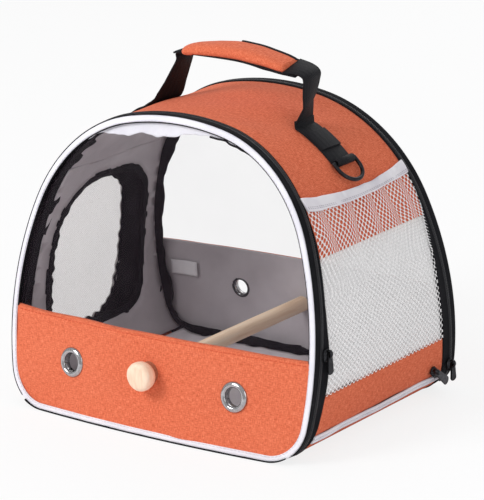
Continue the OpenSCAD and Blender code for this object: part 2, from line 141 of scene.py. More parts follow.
def polar(c, r, a):
    return np.array([c[0] + r * math.cos(a), c[1] + r * math.sin(a)])


TA = 78.5 * DEG
T_C = np.array([0, H - R_TOP])
S_C = polar(T_C, R_TOP - R_SH, TA)
SA = math.acos((R_FL - W / 2 + S_C[0]) / (R_FL - R_SH))
F_C = polar(S_C, R_SH - R_FL, SA)
FA = math.asin((R_CO - F_C[1]) / (R_FL - R_CO))
C_C = polar(F_C, R_FL - R_CO, FA)


def make_loop():
    pts = [((x, 0.0), (0.0, -1.0)) for x in np.linspace(0, C_C[0], 60)[:-1]]
    arcs = [(C_C, R_CO, -math.pi / 2, FA, 60), (F_C, R_FL, FA, SA, 90)]
    arcs += [(S_C, R_SH, SA, TA, 120), (T_C, R_TOP, TA, math.pi / 2, 40)]
    for c, r, a0, a1, n in arcs:
        for a in np.linspace(a0, a1, n)[:-1]:
            pts.append((tuple(polar(c, r, a)), (math.cos(a), math.sin(a))))
    pts.append(((0.0, H), (0.0, 1.0)))
    right = np.array(pts)
    left = right[-2::-1] * np.array([[-1, 1], [-1, 1]])
    both = np.concatenate([right, left])
    return both[:, 0], both[:, 1], arc(both[:, 0])


LP, LN, LS = make_loop()
LEN = LS[-1]
HALF = len(LS) // 2


def on_loop(s, t=0.0):
    """x and z at arc length s, t inside the skin."""
    s = np.asarray(s, float)
    s = np.where(s < 0, s + LEN, s)
    return [np.interp(s, LS, LP[:, i]) - t * np.interp(s, LS, LN[:, i]) for i in (0, 1)]


def s_at(z, left=False):
    """Arc length where the right (or left) side reaches height z."""
    s = np.interp(z, LP[20 : HALF + 1, 1], LS[20 : HALF + 1])
    return LEN - s if left else s


def half_width(z, t=0.0):
    p = LP[: HALF + 1] - t * LN[: HALF + 1]
    keep = np.concatenate([[True], np.diff(p[:, 1]) > 1e-9])
    return np.interp(z, p[keep, 1], p[keep, 0])


DOME_R = (W / 2) ** 2 / (2 * CROWN)
DOME_Z = 0.1  # height of the crown's middle


def dome_y(end, x, z, s=0.0):
    """Depth of a door's crowned face, s under its outside."""
    t = LEAN[end]
    cy = -DP / 2 + (DOME_R - CROWN) * math.cos(t) + DOME_Z * math.tan(t)
    cz = DOME_Z - (DOME_R - CROWN) * math.sin(t)
    return SIGN[end] * (cy - np.sqrt((DOME_R - s) ** 2 - x**2 - (z - cz) ** 2))


def plane_y(end, z, a=0.0):
    """Depth of the leaning plane a behind an end's face."""
    return SIGN[end] * (-DP / 2 + z * math.tan(LEAN[end]) + a / math.cos(LEAN[end]))


def on_dome(end, x, z, s=0.0):
    return cols(x, dome_y(end, x, z, s), z)


def on_plane(end, x, z, a):
    return cols(x, plane_y(end, z, a), z)


def normals(s):
    """The wall's outward normals at arc lengths s."""
    nx, nz = sample(s, LS, LN).T
    return cols(nx, 0, nz)


# How far behind an end's face its dark zip band reaches, by height, in millimetres
TAPE_EDGE = {
    "front": [(0, 14.5), (20, 14.8), (40, 16), (60, 17.4), (80, 17.2), (100, 13.6), (120, 11.6),
              (160, 11.4), (180, 9.9), (200, 9.5), (250, 9.4)],
    "rear": [(0, 17), (30, 18), (92, 18), (124, 15), (153, 11.5), (175, 10.4), (250, 9.8)],
}


def tape_edge(end, z, more=0.0):
    return follow(z, np.array(TAPE_EDGE[end]) * MM) + more


def waves(u, v, seed, size, n=8):
    """Smooth seeded ripples of about +-1 with bumps of the given size."""
    r = np.random.RandomState(seed)
    out = 0.0
    for _ in range(n):
        a, k = r.uniform(0, PI2), PI2 / (size * r.uniform(0.7, 1.7))
        out = out + np.sin(k * (u * math.cos(a) + v * math.sin(a)) + r.uniform(0, PI2))
    return out / math.sqrt(n)


# ---------------------------------------------------------------- meshes
MATS = {}


def make(name, verts, faces, mat, uv=None, recalc=False, weld=0.0, fill=False):
    me = bpy.data.meshes.new(name)
    me.from_pydata([tuple(v) for v in np.asarray(verts, float)], [], [tuple(f) for f in faces])
    if uv is not None:
        layer = me.uv_layers.new(name="UVMap")
        index = np.empty(len(me.loops), int)
        me.loops.foreach_get("vertex_index", index)
        layer.data.foreach_set("uv", np.asarray(uv, float)[index].ravel())
    if recalc or weld or fill:
        bm = bmesh.new()
        bm.from_mesh(me)
        if weld:
            bmesh.ops.remove_doubles(bm, verts=bm.verts, dist=weld)
        if fill:
            bmesh.ops.holes_fill(bm, edges=[e for e in bm.edges if e.is_boundary])
        bmesh.ops.recalc_face_normals(bm, faces=bm.faces)
        bm.to_mesh(me)
        bm.free()
    me.polygons.foreach_set("use_smooth", [True] * len(me.polygons))
    return link(name, me, mat)


def quads(p):
    """Vertex numbers of p (n, m, 3), and the quads between them."""
    i = np.arange(p.shape[0] * p.shape[1]).reshape(p.shape[:2])
    return i, cols(i[:-1, :-1], i[1:, :-1], i[1:, 1:], i[:-1, 1:]).reshape(-1, 4)


def grid(name, p, uv, mat, back=None, ring=False):
    """A sheet of quads over p (n, m, 3); back makes it a closed shell; ring joins its ends."""
    i, q = quads(p)
    verts, faces, uvs = p.reshape(-1, 3), [q], uv.reshape(-1, 2)
    if back is not None:
        k = i.size
        verts = np.concatenate([verts, back.reshape(-1, 3)])
        uvs = np.concatenate([uvs, uvs])
        faces.append(q[:, ::-1] + k)
        rims = [i[:, 0], i[::-1, -1]] + ([] if ring else [i[-1, :], i[0, ::-1]])
        for r in rims:
            faces.append(cols(r[1:], r[:-1], r[:-1] + k, r[1:] + k))
    closed = back is not None
    return make(name, verts, np.concatenate(faces), mat, uvs, recalc=closed, weld=1e-6 if closed or ring else 0)


def tube(name, p, uv, mat, ring=False):
    """A closed profile p (n, m, 3) swept along n; ends are capped unless it is a ring."""
    p = np.concatenate([p, p[:, :1]], 1)
    if uv.shape[1] < p.shape[1]:
        uv = np.concatenate([uv, uv[:, -1:] + (uv[:, -1:] - uv[:, -2:-1])], 1)
    return make(name, p.reshape(-1, 3), quads(p)[1], mat, uv.reshape(-1, 2), weld=1e-6, fill=not ring)


def loop_profile(name, end, profile, mat, s0=0.0, s1=None, step=0.003, face=False):
    """Sweeps a profile of (inset, depth) pairs along the outline of one end."""
    s1 = LEN if s1 is None else s1
    s = np.linspace(s0, s1, max(int((s1 - s0) / step), 8))
    rows = []
    for t, a, *on_face in profile:
        x, z = on_loop(s, t)
        a = a(z) if callable(a) else a + 0 * z
        rows.append((on_dome if face or on_face else on_plane)(end, x, z, a))
    p = np.stack(rows, 1)
    return tube(name, p, cols(s[:, None], arc(p[0])), mat, ring=s0 == 0.0 and s1 == LEN)


def belt(name, s0, s1, edges, mat, out, inn, nu, nv, bump=None):
    """A piece of wall between arc lengths s0 and s1 and the two y(z) edges."""
    s, k = np.linspace(s0, s1, nu), np.linspace(0, 1, nv)

    def face(t):
        y0, y1 = (e(s, on_loop(s, t)[1])[:, None] for e in edges)
        y = y0 + (y1 - y0) * k
        u = s[:, None] + 0 * y
        x, z = on_loop(u, t - (0.0 if bump is None else bump(u, y, k + 0 * y)))
        return cols(x, y, z)

    p = face(out)
    uv = cols(s[:, None] + 0 * p[:, :, 1], p[:, :, 1])
    return grid(name, p, uv, mat, back=face(inn))


def inside(p, poly):
    """Which points of p (n, 2) lie inside the polygon."""
    x, y = p[:, 0], p[:, 1]
    hit = np.zeros(len(p), bool)
    for a, b in zip(poly, np.roll(poly, -1, 0)):
        cross = (a[1] > y) != (b[1] > y)
        with np.errstate(divide="ignore", invalid="ignore"):
            at = (b[0] - a[0]) * (y - a[1]) / (b[1] - a[1]) + a[0]
        hit ^= cross & (x < at)
    return hit


def place(y, z, t):
    """Puts a point of the flat left side (y, z) on the wall, t inside the skin."""
    x, zz = on_loop(s_at(z), t)
    return cols(-x, y, zz)


def panel(name, outer, holes, mat, depths, cell=0.006, bump=None):
    """A closed sheet over a flat outline with holes, set on the left side between two depths."""
    loops = [np.asarray(outer)] + [np.asarray(h) for h in holes]
    pts, edges = [], []
    for lo in loops:
        k = len(pts)
        pts += [Vector(q) for q in lo]
        edges += [(k + i, k + (i + 1) % len(lo)) for i in range(len(lo))]

    def within(p):
        return inside(p, loops[0]) & ~np.any([inside(p, h) for h in loops[1:]] + [np.zeros(len(p), bool)], 0)

    lo, hi = loops[0].min(0), loops[0].max(0)
    free = cols(*np.meshgrid(np.arange(lo[0], hi[0], cell), np.arange(lo[1], hi[1], cell))).reshape(-1, 2)
    near = np.concatenate(loops)
    far = np.array([np.min(np.sum((near - q) ** 2, 1)) > (0.5 * cell) ** 2 for q in free])
    pts += [Vector(q) for q in free[far & within(free)]]
    v, _, f, _, _, _ = delaunay_2d_cdt(pts, edges, [], 0, 1e-7)
    v = np.array([tuple(q) for q in v])
    f = np.array([list(t) for t in f if len(t) == 3])
    f = f[within(v[f].mean(1))]
    d = 0.0 if bump is None else bump(*v.T)
    top, low = (place(*v.T, t - d) for t in depths)
    n = len(v)
    key = {tuple(q) for q in np.concatenate([f[:, [0, 1]], f[:, [1, 2]], f[:, [2, 0]]])}
    rim = np.array([q for q in key if (q[1], q[0]) not in key])
    sides = cols(rim[:, 1], rim[:, 0], rim[:, 0] + n, rim[:, 1] + n)
    faces = [tuple(q) for part in (f, f[:, ::-1] + n, sides) for q in part]
    return make(name, np.concatenate([top, low]), faces, mat, np.concatenate([v, v]), recalc=True)


def lathe(name, profile, mat, at, n=64):
    """Turns (radius, height) pairs round +Z and places them with the matrix at."""
    r, h = np.array(profile, float).T
    a = np.linspace(0, PI2, n + 1)[:, None]
    obj = grid(name, cols(r * np.cos(a), r * np.sin(a), h), cols(a * 0.01, h), mat, ring=True)
    obj.data.transform(at)
    return obj


def capsules(name, c, along, up, length, r, mat, flat=1.0):
    """Many small rounded bars: stitches or zip teeth."""
    c, along, up = (np.asarray(q, float) for q in (c, along, up))
    along = unit(along)
    side = unit(np.cross(along, up))
    up = np.cross(side, along)
    a = np.arange(6) * PI2 / 6
    tip = 0.6 * r / length
    rings = [(c + along * (k * length))[:, None]
             + side[:, None] * (np.cos(a) * r * w)[None, :, None]
             + up[:, None] * (np.sin(a) * r * w * flat)[None, :, None]
             for k, w in ((-0.5, 0.35), (-0.5 + tip, 1), (0.5 - tip, 1), (0.5, 0.35))]
    v = np.stack(rings, 1).reshape(-1, 3)
    one = [(k * 6 + j, k * 6 + (j + 1) % 6, k * 6 + 6 + (j + 1) % 6, k * 6 + 6 + j)
           for k in range(3) for j in range(6)]
    one += [tuple(range(5, -1, -1)), tuple(range(18, 24))]
    faces = [tuple(24 * i + q for q in f) for i in range(len(c)) for f in one]
    return make(name, v, faces, mat, np.zeros((len(v), 2)))


def stitch_row(name, path, up, mat, pitch=0.0042, length=0.0029, r=0.00028):
    """Sewing stitches along a path, lying on a surface with the normals up."""
    s = arc(path)
    k = np.arange(pitch / 2, s[-1], pitch)
    ahead, behind = sample(k + 0.001, s, path), sample(k - 0.001, s, path)
    return capsules(name, sample(k, s, path), ahead - behind, sample(k, s, up), length, r, mat, flat=0.8)


def ribbon(name, path, across, width, thick, mat, n=60):
    """Webbing along a smooth path, with its width along the given directions."""
    p, w = spline(path, n), unit(spline(across, n))
    t = unit(np.gradient(p, axis=0))
    w = unit(w - t * np.sum(w * t, 1)[:, None])
    up = np.cross(t, w)
    h, q = width / 2, thick / 2
    prof = [(-h, 0), (-h + q, -q), (0, -q * 1.15), (h - q, -q), (h, 0), (h - q, q), (0, q * 1.15), (-h + q, q)]
    rows = np.stack([p + w * a + up * b for a, b in prof], 1)
    return tube(name, rows, cols(arc(p)[:, None], [-h, -h, 0, h, h, h, 0, -h]), mat)


def spline(pts, n):
    """n points on a Catmull-Rom curve through pts, evenly spaced."""
    pts = np.asarray(pts, float)
    q = np.concatenate([[2 * pts[0] - pts[1]], pts, [2 * pts[-1] - pts[-2]]])
    u = np.linspace(0, 1, 24, endpoint=False)[:, None]
    out = np.concatenate([
        0.5 * (2 * b + (c - a) * u + (2 * a - 5 * b + 4 * c - d) * u**2 + (3 * b - a - 3 * c + d) * u**3)
        for a, b, c, d in zip(q, q[1:], q[2:], q[3:])] + [pts[-1:]])
    s = arc(out)
    return sample(np.linspace(0, s[-1], n), s, out)


def closed_spline(pts, n):
    pts = np.asarray(pts, float)
    m = len(pts)
    out = spline(np.concatenate([pts[-3:], pts, pts[:3]]), 40 * m)
    i0 = np.argmin(np.sum((out[: 20 * m] - pts[0]) ** 2, 1))
    tail = out[i0 + 10 * m :]
    i1 = i0 + 10 * m + np.argmin(np.sum((tail - pts[0]) ** 2, 1))
    seg = out[i0:i1]
    s = arc(seg)
    return sample(np.linspace(0, s[-1], n, endpoint=False), s, seg)


def put(obj, body, slot, *nodes):
    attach(obj, body)
    if nodes:
        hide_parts(*nodes)
    return obj


# ---------------------------------------------------------------- materials
class Graph:
    """A short way to write a node tree: a new material's, or that of the owner given."""

    def __init__(self, name, owner=None):
        if owner is None:
            owner = MATS[name] = bpy.data.materials.new(name)
        owner.use_nodes = True
        self.tree = owner.node_tree
        self.bsdf = self.tree.nodes.get("Principled BSDF")

    def add(self, kind, **kw):
        """A node; capitalised words and i0, i1, ... are its inputs, other words its settings."""
        n = self.tree.nodes.new("ShaderNode" + kind)
        for k, v in kw.items():
            if k[1:].isdigit():
                self.put(n.inputs[int(k[1:])], v)
            elif k[0].islower():
                setattr(n, k, v)
            else:
                self.put(n.inputs[k.replace("_", " ")], v)
        return n

    def put(self, socket, v):
        if isinstance(v, bpy.types.NodeSocket):
            self.tree.links.new(v, socket)
        elif isinstance(v, bpy.types.Node):
            self.tree.links.new(v.outputs[0], socket)
        else:
            socket.default_value = v

    def math(self, op, a, b=0.0, c=0.0):
        return self.add("Math", operation=op, i0=a, i1=b, i2=c).outputs[0]

    def vec(self, op, a, b=(0, 0, 0)):
        n = self.add("VectorMath", operation=op, i0=a, i1=b)
        return n.outputs["Value" if op in ("LENGTH", "DOT_PRODUCT") else "Vector"]

    def uv(self, sx=1000, sy=1000):
        n = self.add("UVMap")
        return self.vec("MULTIPLY", n.outputs[0], (sx, sy, 1))

    def obj(self, sx=1000, sy=1000, sz=1000):
        n = self.add("TexCoord")
        return self.vec("MULTIPLY", n.outputs["Object"], (sx, sy, sz))

    def noise(self, vec, scale, detail=2.0, rough=0.5):
        return self.add("TexNoise", Vector=vec, Scale=scale, Detail=detail, Roughness=rough).outputs[0]

    def ramp(self, fac, stops):
        n = self.add("ValToRGB", Fac=fac)
        el = n.color_ramp.elements
        while len(el) < len(stops):
            el.new(0.5)
        for e, (p, c) in zip(el, stops):
            e.position, e.color = p, (*c, 1) if len(c) == 3 else c
        return n.outputs[0]

    def mix(self, fac, a, b):
        n = self.add("Mix", data_type="RGBA", blend_type="MIX", i0=fac)
        for i, c in ((6, a), (7, b)):
            self.put(n.inputs[i], (*c, 1) if isinstance(c, tuple) and len(c) == 3 else c)
        return n.outputs[2]

    def bump(self, height, strength=0.4, dist=0.0003):
        n = self.add("Bump", Strength=strength, Distance=dist, Height=height)
        self.put(self.bsdf.inputs["Normal"], n.outputs[0])

    def set(self, **kw):
        for k, v in kw.items():
            self.put(self.bsdf.inputs[k.replace("_", " ")], v)


def plain(name, noise, dark, light, rough, bump=None):
    """An uneven colour between dark and light."""
    g = Graph(name)
    n = g.noise(g.obj(), *noise)
    g.set(Base_Color=g.ramp(n, [(0.3, dark), (0.7, light)]), Roughness=rough)
    if bump:
        g.bump(n, bump, 0.0002)


def weave(g, pitch):
    """A plain weave's height, 0 to 1, with threads pitch millimetres apart."""
    sep = g.add("SeparateXYZ", Vector=g.uv(1000 / pitch, 1000 / pitch))
    a, b = (g.math("SINE", g.math("MULTIPLY", sep.outputs[i], PI2)) for i in (0, 1))
    return g.math("MULTIPLY_ADD", g.math("MULTIPLY", a, b), 0.5, 0.5)


def oxford(name, dark, mid, light, rough=0.88):
    """Heathered woven fabric: slubs along both thread directions over a fine weave."""
    g = Graph(name)
    n1 = g.noise(g.uv(260, 1500), 1.0, 2.0, 0.6)
    n2 = g.noise(g.uv(1500, 260), 1.0, 2.0, 0.6)
    n3 = g.noise(g.uv(14, 14), 1.0, 2.0)
    slub = g.math("ADD", g.math("MULTIPLY", n1, 0.5), g.math("MULTIPLY", n2, 0.5))
    col = g.ramp(slub, [(0.34, dark), (0.5, mid), (0.66, light)])
    w = weave(g, 0.85)
    col = g.mix(g.math("MULTIPLY", w, 0.16), col, (dark[0] * 0.6, dark[1] * 0.5, dark[2] * 0.5))
    col = g.mix(g.math("MULTIPLY", g.math("SUBTRACT", n3, 0.5), 0.5), col, light)
    g.set(Base_Color=col, Roughness=rough, Sheen_Weight=0.04, Sheen_Roughness=0.5, Specular_IOR_Level=0.2)
    h = g.math("ADD", g.math("MULTIPLY", w, 0.6), g.math("MULTIPLY", slub, 0.8))
    g.bump(h, 0.4, 0.00025)


def cloth(name, colour, shade, pitch=0.6, rough=0.9, bump=0.4, blotch=25.0):
    """Plain fine cloth with soft, uneven colour."""
    g = Graph(name)
    n = g.noise(g.obj(), 1.0 / blotch, 3.0, 0.55)
    f = g.noise(g.uv(700, 2600), 1.0, 2.0)
    col = g.ramp(n, [(0.35, shade), (0.65, colour)])
    col = g.mix(g.math("MULTIPLY", f, 0.2), col, shade)
    w = weave(g, pitch)
    g.set(Base_Color=col, Roughness=rough, Sheen_Weight=0.02, Sheen_Roughness=0.5, Specular_IOR_Level=0.12)
    g.bump(g.math("ADD", w, g.math("MULTIPLY", f, 0.5)), bump, 0.0002)


def webbing_mat(name, colour, edge):
    """Ribbed webbing: slanted ribs across, running along U."""
    g = Graph(name)
    sep = g.add("SeparateXYZ", Vector=g.uv())
    fold = g.math("ABSOLUTE", g.math("SUBTRACT", g.math("FRACT", g.math("DIVIDE", sep.outputs[1], 5.0)), 0.5))
    ph = g.math("ADD", g.math("MULTIPLY", sep.outputs[0], PI2 / 1.3), g.math("MULTIPLY", fold, 14.0))
    rib = g.math("MULTIPLY_ADD", g.math("SINE", ph), 0.5, 0.5)
    col = g.mix(g.math("MULTIPLY", rib, 0.6), colour, edge)
    g.set(Base_Color=col, Roughness=0.62, Sheen_Weight=0.02, Sheen_Roughness=0.4, Specular_IOR_Level=0.18)
    g.bump(rib, 0.6, 0.0003)


def net_mat(name, colour, shade, pu, pv, hole, blur, body):
    """Knitted net: open holes in staggered rows, pu by pv millimetres apart."""
    g = Graph(name)
    base = g.uv(1000 / pu, 1000 / pv)
    wob = g.noise(g.uv(60, 60), 1.0, 1.0)
    base = g.vec("ADD", base, g.vec("MULTIPLY", g.add("CombineXYZ", X=wob, Y=wob).outputs[0], (0.5, 0.5, 0)))
    ds = []
    for off in (0.0, 0.5):
        q = g.vec("FRACTION", g.vec("ADD", base, (off + 50, off + 50, 0)))
        q = g.vec("SUBTRACT", q, (0.5, 0.5, 0))
        ds.append(g.vec("LENGTH", g.vec("MULTIPLY", q, (1, 1, 0))))
    d = g.math("MINIMUM", ds[0], ds[1])
    f = g.add("MapRange", Value=d, i1=hole - blur / 2, i2=hole + blur / 2).outputs[0]
    colour = g.mix(g.math("MULTIPLY", d, 2.0), shade, colour)
    g.set(Base_Color=colour, Roughness=0.8, Specular_IOR_Level=0.2, Alpha=g.math("MULTIPLY", f, body))
    g.bump(d, 0.5, 0.0004)


def metal_mat(name, colour, rough, spots):
    g = Graph(name)
    n = g.noise(g.obj(), 0.6, 4.0, 0.7)
    g.set(Metallic=1.0, Base_Color=g.ramp(n, [(0.3, spots), (0.6, colour)]))
    g.set(Roughness=g.math("MULTIPLY_ADD", n, 0.12, rough - 0.05))
    g.bump(n, 0.04, 0.0001)


def paint():
    oxford("orange", (0.54, 0.090, 0.036), (0.75, 0.165, 0.076), (0.90, 0.27, 0.145))
    cloth("binding", (0.90, 0.89, 0.94), (0.80, 0.79, 0.86), 0.5, 0.8, 0.35)
    cloth("hem", (0.86, 0.84, 0.88), (0.76, 0.73, 0.79), 0.9, 0.85, 0.5)
    cloth("lining", (0.57, 0.53, 0.555), (0.46, 0.42, 0.445), 0.55, 0.85, 0.35, 45.0)
    cloth("mat", (0.72, 0.67, 0.70), (0.56, 0.52, 0.545), 0.55, 0.85, 0.35, 40.0)
    cloth("label", (0.80, 0.78, 0.80), (0.70, 0.67, 0.70), 0.4, 0.7, 0.2)
    cloth("tape", (0.010, 0.010, 0.013), (0.004, 0.004, 0.006), 0.7, 0.8, 0.5)
    cloth("thread_orange", (0.62, 0.09, 0.035), (0.50, 0.06, 0.02), 0.3, 0.6, 0.3)
    cloth("thread_white", (0.80, 0.78, 0.84), (0.68, 0.66, 0.72), 0.3, 0.6, 0.3)
    cloth("thread_grey", (0.50, 0.47, 0.52), (0.40, 0.38, 0.42), 0.3, 0.6, 0.3)
    cloth("thread_black", (0.02, 0.02, 0.024), (0.01, 0.01, 0.012), 0.3, 0.6, 0.3)
    cloth("core", (0.75, 0.75, 0.74), (0.65, 0.65, 0.64), 1.2, 0.9, 0.3)
    webbing_mat("webbing", (0.006, 0.006, 0.008), (0.016, 0.016, 0.020))
    net_mat("net_wide", (0.96, 0.95, 0.95), (0.88, 0.86, 0.87), 4.9, 4.9, 0.30, 0.06, 0.88)
    net_mat("net_fine", (0.97, 0.97, 0.97), (0.93, 0.92, 0.92), 1.9, 1.6, 0.15, 0.05, 0.96)
    net_mat("net_side", (0.95, 0.91, 0.90), (0.90, 0.86, 0.86), 1.7, 1.5, 0.20, 0.05, 0.45)
    metal_mat("nickel", (0.50, 0.49, 0.50), 0.13, (0.34, 0.33, 0.34))
    metal_mat("gunmetal", (0.12, 0.12, 0.13), 0.28, (0.05, 0.05, 0.055))
    metal_mat("black_metal", (0.045, 0.045, 0.05), 0.32, (0.02, 0.02, 0.022))
    metal_mat("brass", (0.70, 0.50, 0.24), 0.3, (0.5, 0.34, 0.15))
    plain("teeth", (1.0, 2.0), (0.012, 0.012, 0.015), (0.03, 0.03, 0.036), 0.35)
    # knob washers: dark orange-brown, a painted shadow of the knob on the orange band in place of the washers'
    # own colour
    plain("washer", (0.8, 3.0), (0.30, 0.10, 0.05), (0.42, 0.16, 0.09), 0.6, 0.2)
    # pale bare wood, its grain along the perch
    g = Graph("wood")
    c = g.obj(1000, 60, 1000)
    n1 = g.noise(c, 0.35, 4.0, 0.6)
    n2 = g.noise(g.obj(3000, 60, 3000), 1.0, 2.0)
    col = g.ramp(n1, [(0.3, (0.78, 0.54, 0.36)), (0.5, (0.90, 0.68, 0.49)), (0.7, (0.95, 0.78, 0.61))])
    col = g.mix(g.math("MULTIPLY", n2, 0.25), col, (0.6, 0.38, 0.22))
    g.set(Base_Color=col, Roughness=0.55)
    g.bump(g.math("ADD", n1, n2), 0.25, 0.0002)
    g = Graph("wood_knob")
    c = g.obj(1000, 1000, 160)
    n1 = g.noise(c, 0.4, 4.0, 0.6)
    col = g.ramp(n1, [(0.3, (0.86, 0.60, 0.43)), (0.5, (0.95, 0.72, 0.54)), (0.7, (0.97, 0.80, 0.64))])
    g.set(Base_Color=col, Roughness=0.5)
    g.bump(n1, 0.2, 0.0002)
    # clear soft sheet: almost all see-through, with a veil that grows at a slant
    g = Graph("clear")
    slant = g.math("POWER", g.add("LayerWeight", Blend=0.5).outputs["Facing"], 4.0)
    cloud = g.noise(g.obj(), 1 / 50.0, 3.0, 0.6)
    veil = g.math("MULTIPLY_ADD", slant, 0.30, g.math("MULTIPLY_ADD", cloud, 0.05, 0.025))
    g.set(Base_Color=g.mix(cloud, (0.13, 0.085, 0.12), (0.20, 0.15, 0.185)), Roughness=0.12, Alpha=veil)
    g.bump(g.noise(g.obj(), 1 / 40.0, 2.0), 0.15, 0.001)


paint()


# ---------------------------------------------------------------- doors


def face_matrix(end, x, z):
    """Places a piece on a door's crown at x and z, with +Z outwards."""
    e = 1e-4
    y = lambda a, b: float(dome_y(end, a, b))
    slope = [(y(x + a, z + b) - y(x - a, z - b)) / (2 * e) for a, b in ((e, 0), (0, e))]
    n = (Vector((slope[0], -1, slope[1])) * SIGN[end]).normalized()
    m = n.to_track_quat("Z", "Y").to_matrix().to_4x4()
    m.translation = Vector((x, y(x, z), z))
    return m


def face_grid(end, z0, z1, inset, s, nz, nx, bump=None, power=1.0):
    z = (z0 + (z1 - z0) * np.linspace(0, 1, nz) ** power)[:, None]
    x = half_width(z, inset) * np.linspace(-1, 1, nx)
    z = z + 0 * x
    d = 0.0 if bump is None else bump(x, z)
    return cols(x, dome_y(end, x, z, s) - SIGN[end] * d, z), cols(x, z)


DOORS = {
    "front": dict(band=0.079, ex=0.082, ez=0.0445, er=0.0074, seed=3),
    "rear": dict(band=0.088, ex=0.066, ez=0.0546, er=0.0066, seed=5),
}


def door(end):
    d, body, sg = DOORS[end], end + "_door", SIGN[end]
    band, seed, r = d["band"], d["seed"], d["er"]
    eyes = [(ex, d["ez"]) for ex in (-d["ex"], d["ex"])]

    # clear window, a little wavy where it is sewn in
    def ripple(x, z):
        edge = np.clip((z - 0.12) / 0.12, 0, 1)
        return 0.0006 * waves(x, z, seed, 0.09) + 0.0005 * edge * waves(x, z, seed + 9, 0.035)

    p, uv = face_grid(end, band - 0.0045, H - 0.0016, 0.0016, 0.0012, 60, 60, ripple, 0.75)
    put(grid(end + "_window_sheet", p, uv, "clear"), body, "clear_sheet", end + "_window")

    def puff(x, z):
        """The band's padding: dimpled round the eyelets, raised at the fold, drawn in at the seam."""
        near = sum(np.exp(-((np.hypot(x - ex, z - ez) - 0.0135) / 0.006) ** 2) for ex, ez in eyes)
        fold = 0.0003 * (z > band - 0.0075)
        seam = 0.0005 * np.exp(-((z - band + 0.0022) / 0.0009) ** 2)
        return 0.0004 * waves(x, z, seed + 2, 0.05) - 0.0003 * near + fold - seam

    def soft(x, z):
        return -0.0002 * (waves(x, z, seed + 4, 0.045) + 2.4)

    # the band's layers: name, material, slot, node, lowest and highest z, inset, depths, cells,
    # how much wider than the eyelets their holes are, and the two faces' bumps
    top = band - (0.0042 if end == "front" else -0.0004)
    for name, mat, slot, node, z0, z1, inset, deep, n, wider, bumps in (
            ("fabric", "orange", "shell_fabric", "", 0.0017, band, 0.0014, (0.0, FABRIC), (96, 300), 0.0012,
             (puff, puff)),
            ("foam", "core", "board", "_core", 0.0020, band - 0.005, 0.003, (0.0014, 0.0036), (60, 200),
             0.0018, (None, None)),
            ("inside", "lining", "lining_fabric", "_lining", 0.0020, top, 0.0025, (0.0044, 0.0021),
             (90, 260), 0.0014, (soft, None))):
        (p, uv), (q, _) = (face_grid(end, z0, z1, inset, s, *n, b) for s, b in zip(deep, bumps))
        layer = grid(f"{end}_band_{name}", p, uv, mat, back=q)
        bm = bmesh.new()
        bm.from_mesh(layer.data)
        drop = [f for f in bm.faces if any(
            math.hypot(f.calc_center_median().x - ex, f.calc_center_median().z - ez) < r + wider
            for ex, ez in eyes)]
        bmesh.ops.delete(bm, geom=drop, context="FACES")
        bm.to_mesh(layer.data)
        bm.free()
        put(layer, body, slot, end + "_band" + node)
    if end == "front":
        # the cover's folded edge, over the foam and down behind it
        x = np.linspace(-1, 1, 200) * half_width(band, 0.0028)
        rows = []
        for s, z in ((0.0008, -0.0009), (-0.0001, -0.0007), (0.0002, 0.0003), (0.0012, 0.0008),
                     (0.0030, 0.0008), (0.0042, 0.0002), (0.0046, -0.0010), (0.0045, -0.0085),
                     (0.0036, -0.0085), (0.0034, -0.0010), (0.0022, -0.0008)):
            zz = band + z + 0.0003 * waves(x, 0 * x, 58, 0.05)
            rows.append(on_dome(end, x, zz, s))
        uv = cols(x[:, None], 0.0012 * np.arange(1, 12))
        put(tube("front_band_fold", np.stack(rows, 1), uv, "orange"), body, "shell_fabric")
    z = band - 0.0022
    x = np.linspace(-1, 1, 240) * half_width(z, 0.008)
    y = dome_y(end, x, z, -0.00005) - sg * puff(x, z)
    row = stitch_row(end + "_band_stitches", cols(x, y, z), np.tile([0, -sg, 0.2], (240, 1)), "thread_orange")
    put(row, body, "shell_fabric")
    # edge binding, rolled over the rim
    prof = [(0.0051, -0.0001), (0.0050, -0.0007), (0.0042, -0.0011), (0.0026, -0.0013),
            (0.0012, -0.0012), (0.0004, -0.0008), (0.0001, -0.0001), (0.0002, 0.0010),
            (0.0009, 0.0016), (0.0013, 0.0012), (0.0016, 0.0002), (0.0030, -0.0001)]
    b = loop_profile(end + "_binding_roll", end, prof, "binding", face=True, step=0.0025)
    put(b, body, "pale_fabric", end + "_binding")
    x, z = on_loop(np.linspace(0, LEN, 900), 0.0044)
    path = on_dome(end, x, z, -0.00135)
    row = stitch_row(end + "_binding_stitches", path, np.tile([0, -sg, 0.2], (900, 1)), "thread_white",
                     0.0034, 0.0024, 0.00022)
    put(row, body, "pale_fabric")
    # a narrow dark tape shows inside the binding along the window
    prof = [(0.0048, -0.0005), (0.0058, -0.0005), (0.0061, 0.0001), (0.0058, 0.0008), (0.0048, 0.0008)]
    edging = loop_profile(end + "_window_edge", end, prof, "tape", s_at(band), s_at(band, True), face=True)
    put(edging, body, "zip_tape")
    if end == "front":
        reflection_strip()
    # zip tape and its coil
    prof = [(0.0, 0.0, 1), (-0.0001, -0.0008, 1), (-0.0004, -0.0010, 1), (-0.0007, -0.0004, 1),
            (-0.0006, 0.0022), (-0.0004, 0.0036), (-0.0003, 0.0050), (-0.0001, 0.0064),
            (0.0009, 0.0064), (0.0004, 0.0030)]
    tape = loop_profile(end + "_door_zip", end, prof, "tape", s_at(ZIP_END), s_at(ZIP_END, True))
    put(tape, body, "zip_tape", end + "_door_tape")
    coil(end, "door", 0.0058)
